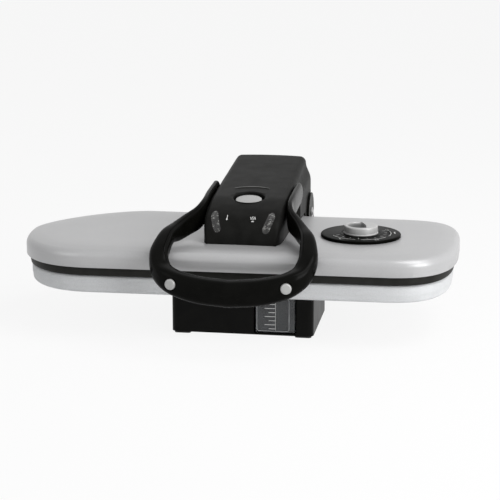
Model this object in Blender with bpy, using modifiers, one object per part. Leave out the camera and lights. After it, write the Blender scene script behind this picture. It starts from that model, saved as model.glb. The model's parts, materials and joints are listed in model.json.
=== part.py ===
"""Steam ironing press: a long heated platen on a hinged arm that closes on a padded board.

Metres, +Z up. X runs along the board, +Y to the hinge at the back. The origin lies on the table, under the
middle of the closed press. The press is modelled closed, as it stands when it is put away.

The bodies that move: the arm with the platen and the hood (lifts about the hinge pin), the loop handle (swings
about its shaft), the temperature dial, the steam button, the two handle buttons, and the water tank (slides
out to the front).
"""

import math

import bmesh
import bpy
from mathutils import Euler, Matrix, Vector

# Clearances and general values
GAP = 0.0003
OVERRUN = 0.004
ROUND_SIDES = 32
SMALL_SIDES = 16
CORNER_STEPS = 6
MERGE = 0.00001

# Middle plane of the base, the arm and the handle
AXIS_X = 0.013

# Plan outline of the platen at the rim of its shell: four quarter curves and two straight runs
RIGHT_END_X = 0.3225
LEFT_END_X = -0.3225
RIGHT_RUN_X = 0.214
LEFT_FRONT_RUN_X = -0.201
LEFT_BACK_RUN_X = -0.166
RIGHT_TIP_Y = 0.0
LEFT_TIP_Y = -0.015
RIGHT_FRONT_Y = -0.151
RIGHT_BACK_Y = 0.1285
LEFT_FRONT_Y = -0.1585
LEFT_BACK_Y = 0.132
RIGHT_FRONT_SQUARENESS_SHARE = 2.75
RIGHT_BACK_SQUARENESS_SHARE = 3.5
LEFT_FRONT_SQUARENESS_SHARE = 2.3
LEFT_BACK_SQUARENESS_SHARE = 1.5
OUTLINE_STEPS = 10

# Base: a box under the board, and a neck that carries the hinge tower
FOOT_HEIGHT = 0.0027
FOOT_SIDE = 0.024
FOOT_ROUNDING = 0.004
FOOT_INSET = 0.0035
BASE_HALF_WIDTH = 0.105
BASE_FRONT_Y = -0.095
BASE_BACK_Y = 0.062
BASE_HEIGHT = 0.066
BASE_WALL = 0.003
BASE_ROUNDING = 0.009
BASE_EDGE_SHARE = 0.6
BASE_BOTTOM = FOOT_HEIGHT + GAP
BASE_TOP = BASE_BOTTOM + BASE_HEIGHT
BASE_PLATE_THICKNESS = 0.0017
BASE_PLATE_BOTTOM = BASE_BOTTOM + GAP
BASE_PLATE_TOP = BASE_PLATE_BOTTOM + BASE_PLATE_THICKNESS

# Board: riser, pan, foam and fabric cover, stacked on the base
RISER_THICKNESS = 0.0029
RISER_HALF_WIDTH = 0.09
RISER_FRONT_Y = -0.08
RISER_BACK_Y = 0.05
RISER_ROUNDING = 0.012
PAN_THICKNESS = 0.002
PAN_INSET = 0.0145
FOAM_HEIGHT = 0.0206
COVER_THICKNESS = 0.0012
RISER_BOTTOM = BASE_TOP + GAP
PAN_BOTTOM = RISER_BOTTOM + RISER_THICKNESS + GAP
FOAM_BOTTOM = PAN_BOTTOM + PAN_THICKNESS + GAP
FOAM_TOP = FOAM_BOTTOM + FOAM_HEIGHT
COVER_TOP = FOAM_TOP + GAP + COVER_THICKNESS
COVER_BULGE_INSET = 0.0058
COVER_HEM_INSET = 0.030
COVER_CROWN_INSET = 0.0175
COVER_BOTTOM = PAN_BOTTOM - GAP - COVER_THICKNESS
# Drawn-in sides of the cover: share of its height, share of the way from the bulge in to the crown
COVER_SIDE_SHARES = (
    (0.0, 0.53),
    (0.1, 0.24),
    (0.34, 0.05),
    (0.58, 0.0),
    (0.81, 0.09),
    (0.96, 0.42),
    (1.0, 1.0),
)

# Platen: soleplate, skirt and shell, stacked on the pad
SKIRT_SHOWN = 0.0128
SKIRT_HEIGHT = 0.021
SKIRT_THICKNESS = 0.004
SKIRT_INSET = 0.0055
SOLE_THICKNESS = 0.0086
SOLE_HOLE_RADIUS = 0.002
SOLE_HOLE_SIDES = 6
SOLE_HOLE_COLUMNS = 12
SOLE_HOLE_ROW_SHARE = 0.6
SOLE_POST_RADIUS = 0.007
POST_SPREAD_SHARE = 0.35
SHELL_WALL = 0.0025
SHELL_SIDE_HEIGHT = 0.014
SHELL_FILLET = 0.012
SHELL_FILLET_STEPS = 4
SHELL_CROWN_RISE = 0.003
SHELL_CROWN_INSET = 0.045
PRESS_PLANE = COVER_TOP + GAP
SKIRT_TOP = PRESS_PLANE + SKIRT_HEIGHT
SOLE_TOP = PRESS_PLANE + SOLE_THICKNESS
RIM_Z = PRESS_PLANE + SKIRT_SHOWN
SHELL_TOP = RIM_Z + SHELL_SIDE_HEIGHT + SHELL_FILLET + SHELL_CROWN_RISE
SHELL_CEILING = SHELL_TOP - SHELL_WALL
SOLE_INSET = SKIRT_INSET + SKIRT_THICKNESS + GAP

# Heating element: one tube laid round the soleplate
ELEMENT_RADIUS = 0.004
ELEMENT_INSET = 0.052
ELEMENT_TAIL_X = 0.02
ELEMENT_TAIL_LENGTH = 0.03

# Main hinge
PIVOT_Y = 0.188
PIVOT_ABOVE_RIM = 0.018
PIVOT_Z = RIM_Z + PIVOT_ABOVE_RIM
PIN_RADIUS = 0.005
PIN_CLEARANCE = 0.0003
BUSH_RADIUS = 0.008
BUSH_FLANGE_RADIUS = 0.0105
BUSH_FLANGE = 0.0012
CLIP_RADIUS = 0.009
CLIP_THICKNESS = 0.0015
PIN_END = 0.0014
EAR_RADIUS = 0.032
EAR_THICKNESS = 0.003
SIDE_CLEARANCE = 0.0006
TOWER_WALL = 0.003
TOWER_BACK_BELOW_PIVOT = 0.02
TOWER_FRONT_BELOW_PIVOT = 0.028

# Torsion springs on the hinge pin
SPRING_WIRE_RADIUS = 0.0014
SPRING_COIL_RADIUS = 0.0078
SPRING_PITCH = 0.0036
SPRING_TURNS = 5
SPRING_TURN_POINTS = 8
SPRING_ARM_LEG = 0.029
SPRING_HOOK = 0.006
SPRING_TOWER_LEG = 0.024
SPRING_SEAT_HEIGHT = 0.009

# Arm frame: a pressed channel from the hinge to the middle of the platen
ARM_HALF_WIDTH = 0.030
ARM_WALL = 0.0025
ARM_FRONT_Y = -0.062
ARM_KNEE_Y = 0.025
ARM_STEP_Y = 0.040
ARM_BACK_Y = 0.202
ARM_LUG_RADIUS = 0.014
ARM_LIFT = 0.0064
ARM_FRONT_HEIGHT = 0.020
ARM_REAR_HEIGHT = 0.0495
ARM_SHOULDER = 0.022
ARM_BACK_FALL_SHARE = 1.6
ARM_BACK_RUN_SHARE = 2.4
MOUNT_FRONT_Y = -0.045
MOUNT_BACK_Y = 0.015
MOUNT_HALF_WIDTH = 0.034
ARM_BOTTOM = SHELL_TOP + GAP + ARM_LIFT + GAP
ARM_FRONT_TOP = ARM_BOTTOM + ARM_FRONT_HEIGHT
ARM_REAR_TOP = ARM_BOTTOM + ARM_REAR_HEIGHT

# Hood over the arm and the hinge: one skin in two mouldings, the cover in front and the housing behind
HOOD_HALF_WIDTH = 0.058
HOOD_FRONT_Y = -0.105
HOOD_SEAM = 0.0005
HOOD_BACK_Y = 0.2048
HOOD_HEIGHT = 0.0766
HOOD_WALL = 0.0025
HOOD_FILLET = 0.010
HOOD_CROWN = 0.001
HOOD_LIFT = 0.0004
HOOD_ARC_STEPS = 4
HOOD_BOTTOM = SHELL_TOP + HOOD_LIFT
# Stations of the cover and of the housing: share of the whole length, half width, height and fillet
COVER_STATION_SHARES = (
    (0.0, 0.845, 0.21, 0.4),
    (0.002, 0.879, 0.256, 0.6),
    (0.008, 0.909, 0.312, 0.8),
    (0.021, 0.94, 0.373, 0.9),
    (0.045, 0.966, 0.441, 1.0),
    (0.081, 0.986, 0.517, 1.0),
    (0.129, 0.997, 0.597, 1.0),
    (0.184, 1.0, 0.662, 1.0),
    (0.242, 1.0, 0.713, 1.0),
    (0.307, 1.0, 0.745, 1.0),
    (0.403, 1.0, 0.785, 1.0),
    (0.558, 1.0, 0.852, 1.0),
)
HOUSING_STATION_SHARES = (
    (0.558, 1.0, 0.852, 1.0),
    (0.694, 0.99, 0.908, 1.0),
    (0.78, 0.982, 0.943, 1.0),
    (0.7825, 0.982, 0.944, 1.0),
    (0.86, 0.973, 0.974, 1.0),
    (0.952, 0.965, 1.007, 1.0),
    (0.981, 0.962, 1.007, 1.0),
    (0.995, 0.95, 0.98, 1.0),
    (1.0, 0.92, 0.93, 1.0),
)
# Rear housing: its sides flare below the skin's edge, and reach lower over the hinge
HOUSING_HALF_WIDTH = 0.0634
HOUSING_FLARE_HEIGHT = 0.024
HOUSING_FLARE_SHARES = ((0.35, 0.45), (0.7, 0.85), (1.0, 1.0))
HOUSING_TAIL_SHARE = 0.7825
HOUSING_TAIL_DROP = 0.019
HOUSING_LOW_ABOVE_PIVOT = 0.005
PIN_NOTCH_RADIUS = 0.0075

# Loop handle
HANDLE_PIVOT_Y = 0.050
HANDLE_PIVOT_ABOVE_SHELL = 0.046
HANDLE_SHAFT_RADIUS = 0.006
HANDLE_ARM_THICKNESS = 0.0095
HANDLE_ARM_HEIGHT = 0.034
HANDLE_SIDE_GAP = 0.0008
HANDLE_HALF_SPREAD = 0.106
HANDLE_DROP_HEIGHT = 0.091
HANDLE_BAR_DEPTH = 0.028
HANDLE_FINGER_GAP = 0.0385
HANDLE_BAR_HEIGHT = 0.038
HANDLE_SECTION_POINTS = 16
HANDLE_STEPS = 2
HANDLE_END_STEPS = 4
HANDLE_SQUARENESS_SHARE = 3.0
HANDLE_REACH = HANDLE_PIVOT_Y - LEFT_FRONT_Y + HANDLE_FINGER_GAP + HANDLE_BAR_DEPTH / 2
# Way out from the arm to the widest point, of the reach and of the drop, and the section's width and height
HANDLE_SIDE_SHARES = (
    (0.0, 0.0, 0.0, 0.0, 0.0),
    (0.0, 0.231, 0.039, 0.0, 0.0),
    (0.0, 0.364, 0.088, 0.0, 0.0),
    (0.13, 0.46, 0.169, 0.04, -0.1),
    (0.42, 0.545, 0.239, 0.16, -0.6),
    (0.66, 0.625, 0.292, 0.36, -1.3),
    (0.87, 0.71, 0.323, 0.62, -2.8),
    (0.975, 0.795, 0.438, 0.85, -3.1),
    (1.0, 0.856, 0.562, 0.95, -2.6),
)
# Share of the half spread, of the reach and of the drop, and of the way to the front bar's section
HANDLE_FRONT_SHARES = (
    (0.943, 0.912, 0.725, 1.0, 0.3),
    (0.83, 0.954, 0.824, 1.0, 0.65),
    (0.66, 0.977, 0.901, 1.0, 0.85),
    (0.377, 0.992, 0.967, 1.0, 1.0),
    (0.0, 1.0, 1.0, 1.0, 1.0),
)
HANDLE_FRONT_SHARE = 0.7
PARTING_LOW_ANGLE = -62.0
PARTING_HIGH_ANGLE = 118.0

# Handle buttons
BUTTON_RADIUS = 0.0078
BUTTON_CLEARANCE = 0.0006
BUTTON_SHOWN = 0.0028
BUTTON_LENGTH = 0.0065
BUTTON_SPREAD_SHARE = 0.735
BUTTON_SPRING_RADIUS = 0.0052
BUTTON_SPRING_WIRE = 0.0005
BUTTON_SPRING_LENGTH = 0.006
BUTTON_SPRING_TURNS = 3

# Steam button on the hood
STEAM_BUTTON_Y = -0.030
STEAM_BUTTON_RADIUS = 0.0194
STEAM_BUTTON_TRAVEL = 0.0025
STEAM_BUTTON_HEIGHT = 0.0042
STEAM_BUTTON_SUNK = 0.001
STEAM_BUTTON_DOME = 0.0006
STEAM_STEM_RADIUS = 0.005
STEAM_CUP_RADIUS = 0.0236
STEAM_CUP_WALL = 0.0024
STEAM_CUP_DEPTH = 0.0104
STEAM_CUP_FLOOR = 0.0025
STEAM_SPRING_RADIUS = 0.0082
STEAM_SPRING_WIRE = 0.0004
STEAM_SPRING_TURNS = 3

# Lamps in the corners of the hood's nose, leaning out towards their tops
LAMP_WIDTH = 0.0105
LAMP_DEPTH = 0.004
LAMP_SHOWN = 0.0006
LAMP_LOW_SPREAD = 0.0355
LAMP_HIGH_SPREAD = 0.0415
LAMP_LOW_HEIGHT = 0.022
LAMP_HIGH_HEIGHT = 0.0375
LAMP_CUT_DEPTH = 0.040

# Temperature dial on the shell
DIAL_X = 0.1785
DIAL_Y = -0.018
DIAL_RADIUS = 0.059
DIAL_THICKNESS = 0.0042
DIAL_EDGE = 0.001
KNOB_RADIUS = 0.0255
KNOB_HEIGHT = 0.0102
KNOB_EDGE = 0.0016
KNOB_SCOOP_RADIUS = 0.019
KNOB_SCOOP_DEPTH = 0.0045
SPINDLE_RADIUS = 0.003
SPINDLE_DEPTH = 0.012
THERMOSTAT_RADIUS = 0.016
THERMOSTAT_HEIGHT = 0.013

# Water tank and its bay
TANK_FROM_SIDE = 0.0255
TANK_WIDTH = 0.061
TANK_FRONT_LIP = 0.001
TANK_LENGTH = 0.120
TANK_HEIGHT = 0.0545
TANK_WALL = 0.002
TANK_ROUNDING = 0.004
TANK_CLEARANCE = 0.001
TANK_LID_THICKNESS = 0.0018
RAIL_WIDTH = 0.006
RAIL_HEIGHT = 0.0009
FILL_HOLE_RADIUS = 0.012
FILL_HOLE_Y = -0.045
FILL_PLUG_HEAD = 0.0012
VALVE_RADIUS = 0.005
VALVE_LENGTH = 0.012
VALVE_HEIGHT = 0.012
SOCKET_WALL = 0.003
SOCKET_LENGTH = 0.016
TANK_WINDOW_ROUNDING = 0.002
TANK_LEFT_X = AXIS_X + BASE_HALF_WIDTH - TANK_FROM_SIDE - TANK_WIDTH
RAIL_BOTTOM = BASE_PLATE_TOP + GAP
TANK_BOTTOM = RAIL_BOTTOM + RAIL_HEIGHT + GAP
TANK_TOP = TANK_BOTTOM + TANK_HEIGHT
TANK_FRONT_Y = BASE_FRONT_Y + TANK_FRONT_LIP
TANK_BACK_Y = TANK_FRONT_Y + TANK_LENGTH
TANK_RIGHT_X = TANK_LEFT_X + TANK_WIDTH
LID_BOTTOM = TANK_TOP + GAP
LID_TOP = LID_BOTTOM + TANK_LID_THICKNESS

# Pump and hose inside the base
PUMP_X = -0.035
PUMP_Y = 0.010
PUMP_RADIUS = 0.017
PUMP_LENGTH = 0.060
PUMP_FOOT = 0.004
PUMP_FOOT_HALF_WIDTH = 0.020
PUMP_PORT_RADIUS = 0.004
PUMP_PORT_LENGTH = 0.010
HOSE_RADIUS = 0.0035

# Cord gland in the back of the tower
GLAND_SIDE = -0.040
GLAND_Z = 0.026
GLAND_RADIUS = 0.009
GLAND_BORE = 0.0045
GLAND_SHOWN = 0.005
GLAND_FLANGE = 0.0125
GLAND_FLANGE_THICKNESS = 0.0018

# Control board and switch under the hood
CONTROL_BOARD_THICKNESS = 0.0016
CONTROL_BOARD_HALF_WIDTH = 0.026
CONTROL_BOARD_FRONT_Y = -0.058
CONTROL_BOARD_BACK_Y = 0.018
SWITCH_HALF_WIDTH = 0.008
SWITCH_HALF_LENGTH = 0.007

# Colour, roughness and metallic value of each kind of surface
SATIN_GREY = ((0.48, 0.49, 0.50), 0.38, 0.35)
CHARCOAL = ((0.045, 0.045, 0.043), 0.42, 0.0)
BLACK_GLOSS = ((0.014, 0.014, 0.014), 0.28, 0.0)
BLACK_MATTE = ((0.02, 0.02, 0.02), 0.6, 0.0)
SILVER = ((0.72, 0.72, 0.73), 0.25, 0.9)
STEEL = ((0.6, 0.6, 0.6), 0.35, 1.0)
ALUMINIUM = ((0.7, 0.71, 0.72), 0.45, 1.0)
FABRIC = ((0.60, 0.61, 0.62), 0.9, 0.1)
FOAM = ((0.75, 0.72, 0.55), 0.95, 0.0)
SMOKY = ((0.06, 0.065, 0.07), 0.1, 0.0)
RUBBER = ((0.03, 0.03, 0.03), 0.8, 0.0)
BRASS = ((0.7, 0.5, 0.2), 0.35, 1.0)
GREEN_BOARD = ((0.03, 0.2, 0.08), 0.5, 0.0)
DARK_LENS = ((0.12, 0.10, 0.09), 0.15, 0.0)


def clear_scene():
    """Removes whatever the file started with."""
    for obj in list(bpy.data.objects):
        bpy.data.objects.remove(obj, do_unlink=True)


def new_collection(name):
    """A collection under the scene's own."""
    made = bpy.data.collections.new(name)
    bpy.context.scene.collection.children.link(made)
    return made


clear_scene()
PARTS = new_collection("steam_ironing_press")
CUTTERS = new_collection("cutters")


def surface(name, look):
    """A Principled material of this colour, roughness and metallic value."""
    colour, roughness, metallic = look
    made = bpy.data.materials.new(name)
    made.use_nodes = True
    shader = made.node_tree.nodes["Principled BSDF"]
    shader.inputs["Base Color"].default_value = (*colour, 1)
    shader.inputs["Roughness"].default_value = roughness
    shader.inputs["Metallic"].default_value = metallic
    made.diffuse_color = (*colour, 1)
    return made


def add_object(name, data, look=None, origin=(0, 0, 0)):
    """An object at its origin point: a sub-part with a look, or a cutter without one."""
    obj = bpy.data.objects.new(name, data)
    obj.location = origin
    if look is None:
        CUTTERS.objects.link(obj)
        obj.hide_render = True
        obj.display_type = "WIRE"
    else:
        PARTS.objects.link(obj)
        obj.data.materials.append(surface(name, look))
    return obj


def mesh_object(name, bm, look=None, origin=(0, 0, 0), smooth=True):
    """Turns a bmesh in world coordinates into an object whose origin is the given point."""
    bmesh.ops.translate(bm, verts=bm.verts, vec=-Vector(origin))
    bmesh.ops.recalc_face_normals(bm, faces=bm.faces)
    data = bpy.data.meshes.new(name)
    bm.to_mesh(data)
    bm.free()
    if smooth:
        data.shade_smooth()
        data.set_sharp_from_angle(angle=math.radians(35))
    return add_object(name, data, look, origin)


def middle(low, high):
    return tuple((a + b) / 2 for a, b in zip(low, high))


def box(name, low, high, look=None, rounding=0):
    """A block between two corners, with its upright and level edges rounded alike."""
    bm = bmesh.new()
    bmesh.ops.create_cube(bm, size=1)
    sides = [b - a for a, b in zip(low, high)]
    bmesh.ops.scale(bm, verts=bm.verts, vec=sides)
    bmesh.ops.translate(bm, verts=bm.verts, vec=middle(low, high))
    obj = mesh_object(name, bm, look, middle(low, high), smooth=False)
    if rounding:
        bevel(obj, rounding)
    return obj


def bevel(obj, width, segments=3):
    made = obj.modifiers.new("Rounded edges", "BEVEL")
    made.width = width
    made.segments = segments
    made.limit_method = "ANGLE"
    made.angle_limit = math.radians(30)


def turn_to(direction):
    """The rotation that lays the local Z axis along a direction."""
    return Vector(direction).normalized().to_track_quat("Z", "Y").to_matrix().to_4x4()


def cylinder(name, start, direction, radius, length, look=None, sides=ROUND_SIDES):
    """A round bar from a point along a direction."""
    bm = bmesh.new()
    bmesh.ops.create_cone(bm, cap_ends=True, segments=sides, radius1=radius, radius2=radius, depth=length)
    along = Vector(direction).normalized()
    place = Matrix.Translation(Vector(start) + along * length / 2) @ turn_to(direction)
    bmesh.ops.transform(bm, matrix=place, verts=bm.verts)
    return mesh_object(name, bm, look, start)


def boolean(obj, other, operation):
    made = obj.modifiers.new(other.name, "BOOLEAN")
    made.operation = operation
    made.object = other


def cut(obj, *cutters):
    for cutter in cutters:
        boolean(obj, cutter, "DIFFERENCE")


def join(obj, *others):
    for other in others:
        boolean(obj, other, "UNION")


def turned(name, profile, origin, direction, look=None, closed=False, steps=ROUND_SIDES):
    """A profile of (radius, height) points, run down its outer side, turned about a direction."""
    data = bpy.data.meshes.new(name)
    points = [(radius, 0, height) for radius, height in profile]
    edges = [(i, i + 1) for i in range(len(points) - 1)]
    if closed:
        edges.append((len(points) - 1, 0))
    data.from_pydata(points, edges, [])
    obj = add_object(name, data, look, origin)
    obj.rotation_euler = turn_to(direction).to_euler()
    screw = obj.modifiers.new("Turned", "SCREW")
    screw.steps = steps
    screw.render_steps = steps
    screw.use_merge_vertices = True
    screw.merge_threshold = MERGE
    return obj


def as_mesh(obj):
    """The object's evaluated curve as a welded mesh object under the same name and place."""
    bpy.context.view_layer.update()
    graph = bpy.context.evaluated_depsgraph_get()
    data = bpy.data.meshes.new_from_object(obj.evaluated_get(graph))
    bm = bmesh.new()
    bm.from_mesh(data)
    bmesh.ops.remove_doubles(bm, verts=bm.verts, dist=MERGE)
    bmesh.ops.recalc_face_normals(bm, faces=bm.faces)
    bm.to_mesh(data)
    bm.free()
    data.shade_smooth()
    data.set_sharp_from_angle(angle=math.radians(35))
    name, place, hidden = obj.name, obj.matrix_world.copy(), obj.hide_render
    home = obj.users_collection[0]
    old = obj.data
    bpy.data.objects.remove(obj, do_unlink=True)
    bpy.data.curves.remove(old)
    made = bpy.data.objects.new(name, data)
    made.matrix_world = place
    made.hide_render = hidden
    if hidden:
        made.display_type = "WIRE"
    home.objects.link(made)
    return made


PLANE_TURN = {
    "XY": Euler((0, 0, 0)),
    "YZ": Euler((math.pi / 2, 0, math.pi / 2)),
    "XZ": Euler((math.pi / 2, 0, 0)),
}
PLANE_AXIS = {"XY": Vector((0, 0, 1)), "YZ": Vector((1, 0, 0)), "XZ": Vector((0, 1, 0))}


def plate(name, outline, plane, start, end, look=None, holes=()):
    """A flat outline in a plane, from start to end along the plane's normal, as a welded mesh."""
    data = bpy.data.curves.new(name, "CURVE")
    data.dimensions = "2D"
    data.fill_mode = "BOTH"
    data.extrude = (end - start) / 2
    for points in (outline, *holes):
        spline = data.splines.new("POLY")
        spline.points.add(len(points) - 1)
        spline.use_cyclic_u = True
        for point, (u, v) in zip(spline.points, points):
            point.co = (u, v, 0, 1)
    obj = add_object(name, data, look, PLANE_AXIS[plane] * (start + end) / 2)
    obj.rotation_euler = PLANE_TURN[plane]
    return as_mesh(obj)


def tube(name, points, radius, look, sides=2, origin=(0, 0, 0)):
    """A round wire or tube along a run of points, with closed ends."""
    data = bpy.data.curves.new(name, "CURVE")
    data.dimensions = "3D"
    data.bevel_depth = radius
    data.bevel_resolution = sides
    data.use_fill_caps = True
    spline = data.splines.new("POLY")
    spline.points.add(len(points) - 1)
    for point, place in zip(spline.points, points):
        point.co = (*(Vector(place) - Vector(origin)), 1)
    return add_object(name, data, look, origin)


def loft(name, rings, look=None, cap_start=True, cap_end=True, origin=(0, 0, 0), seam=None):
    """A skin over rings of equally many points, each ring closed on itself.

    Where two mouldings meet along a twisted seam, seam says which diagonal splits the closing faces of both.
    """
    bm = bmesh.new()
    rows = [[bm.verts.new(point) for point in ring] for ring in rings]
    count = len(rings[0])
    for low, high in zip(rows, rows[1:]):
        for i in range(count):
            j = (i + 1) % count
            if seam == "last_to_first" and j == 0:
                bm.faces.new((low[i], low[j], high[j]))
                bm.faces.new((low[i], high[j], high[i]))
            elif seam == "first_to_last" and j == 0:
                bm.faces.new((low[i], low[j], high[i]))
                bm.faces.new((low[j], high[j], high[i]))
            else:
                bm.faces.new((low[i], low[j], high[j], high[i]))
    if cap_start:
        bm.faces.new(rows[0][::-1])
    if cap_end:
        bm.faces.new(rows[-1])
    return mesh_object(name, bm, look, origin)


def solidify(obj, thickness):
    """Gives an open surface a wall on its inner side."""
    made = obj.modifiers.new("Wall", "SOLIDIFY")
    made.thickness = thickness
    made.offset = -1
    made.use_even_offset = True


def rounded_rectangle(low, high, radius, steps=CORNER_STEPS):
    """Points of a rectangle with round corners, from its low and high corners."""
    corners = (
        (high[0] - radius, high[1] - radius, 0),
        (low[0] + radius, high[1] - radius, 90),
        (low[0] + radius, low[1] + radius, 180),
        (high[0] - radius, low[1] + radius, 270),
    )
    points = []
    for u, v, first in corners:
        points += arc((u, v), radius, first, first + 90, steps)
    return points


def arc(centre, radius, first, last, steps):
    """Points along an arc, both ends included."""
    angles = [math.radians(first + (last - first) * i / steps) for i in range(steps + 1)]
    return [(centre[0] + radius * math.cos(a), centre[1] + radius * math.sin(a)) for a in angles]


def offset_outline(points, distances):
    """Moves each edge of a counter-clockwise outline inward by its own distance, and meets them again."""
    moved = []
    count = len(points)
    for i in range(count):
        a, b = Vector(points[i]), Vector(points[(i + 1) % count])
        along = (b - a).normalized()
        inward = Vector((-along.y, along.x))
        moved.append((a + inward * distances[i], along))
    result = []
    for i in range(count):
        p, d = moved[i - 1]
        q, e = moved[i]
        cross = d.x * e.y - d.y * e.x
        if abs(cross) < 1e-6:
            result.append(tuple(q))
            continue
        t = ((q.x - p.x) * e.y - (q.y - p.y) * e.x) / cross
        result.append(tuple(p + d * t))
    return result


def quarter(centre_x, tip_y, reach_x, reach_y, squareness, first, last):
    """Points of one rounded quarter of the plan outline."""
    power = 2 / squareness
    points = []
    for i in range(OUTLINE_STEPS + 1):
        t = math.radians(first + (last - first) * i / OUTLINE_STEPS)
        c, s = math.cos(t), math.sin(t)
        x = centre_x + reach_x * math.copysign(abs(c) ** power, c)
        y = tip_y + reach_y * math.copysign(abs(s) ** power, s)
        points.append((x, y))
    return points


def platen_outline(inset):
    """The plan outline, drawn in by an inset, counter-clockwise from the right tip."""
    right = RIGHT_END_X - RIGHT_RUN_X - inset
    left_back = LEFT_BACK_RUN_X - LEFT_END_X - inset
    left_front = LEFT_FRONT_RUN_X - LEFT_END_X - inset
    right_back = RIGHT_BACK_Y - RIGHT_TIP_Y - inset
    right_front = RIGHT_TIP_Y - RIGHT_FRONT_Y - inset
    back = LEFT_BACK_Y - LEFT_TIP_Y - inset
    front = LEFT_TIP_Y - LEFT_FRONT_Y - inset
    squareness = RIGHT_BACK_SQUARENESS_SHARE
    points = quarter(RIGHT_RUN_X, RIGHT_TIP_Y, right, right_back, squareness, 0, 90)
    squareness = LEFT_BACK_SQUARENESS_SHARE
    points += quarter(LEFT_BACK_RUN_X, LEFT_TIP_Y, left_back, back, squareness, 90, 180)
    squareness = LEFT_FRONT_SQUARENESS_SHARE
    points += quarter(LEFT_FRONT_RUN_X, LEFT_TIP_Y, left_front, front, squareness, 180, 270)[1:]
    squareness = RIGHT_FRONT_SQUARENESS_SHARE
    points += quarter(RIGHT_RUN_X, RIGHT_TIP_Y, right, right_front, squareness, 270, 360)[:-1]
    return points


def outline_ring(inset, height):
    return [(x, y, height) for x, y in platen_outline(inset)]


def smooth_path(points, steps):
    """A Catmull-Rom curve through points of any dimension, with so many steps between neighbours."""
    count = len(points)
    result = []
    for i in range(count - 1):
        before = points[max(i - 1, 0)]
        after = points[min(i + 2, count - 1)]
        for k in range(steps):
            t = k / steps
            row = []
            for p0, p1, p2, p3 in zip(before, points[i], points[i + 1], after):
                slope = 2 * p1 + (p2 - p0) * t
                bend = (2 * p0 - 5 * p1 + 4 * p2 - p3) * t * t
                twist = (3 * p1 - p0 - 3 * p2 + p3) * t**3
                row.append((slope + bend + twist) / 2)
            result.append(tuple(row))
    result.append(tuple(points[-1]))
    return result


def build_feet():
    """Four rubber feet under the corners of the base box."""
    places = {
        "front_left": (AXIS_X - BASE_HALF_WIDTH + FOOT_INSET, BASE_FRONT_Y + FOOT_INSET),
        "front_right": (AXIS_X + BASE_HALF_WIDTH - FOOT_INSET - FOOT_SIDE, BASE_FRONT_Y + FOOT_INSET),
        "rear_left": (AXIS_X - tower_half_width() + FOOT_INSET, tower_back_y() - FOOT_INSET - FOOT_SIDE),
        "rear_right": (
            AXIS_X + tower_half_width() - FOOT_INSET - FOOT_SIDE,
            tower_back_y() - FOOT_INSET - FOOT_SIDE,
        ),
    }
    for name, (x, y) in places.items():
        outline = rounded_rectangle((x, y), (x + FOOT_SIDE, y + FOOT_SIDE), FOOT_ROUNDING, 3)
        plate("foot_" + name, outline, "XY", 0, FOOT_HEIGHT, RUBBER)


def tower_half_width():
    return HOUSING_HALF_WIDTH + SIDE_CLEARANCE + EAR_THICKNESS


def tower_back_y():
    return PIVOT_Y + EAR_RADIUS


def tower_front_y():
    return PIVOT_Y - EAR_RADIUS


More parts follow.
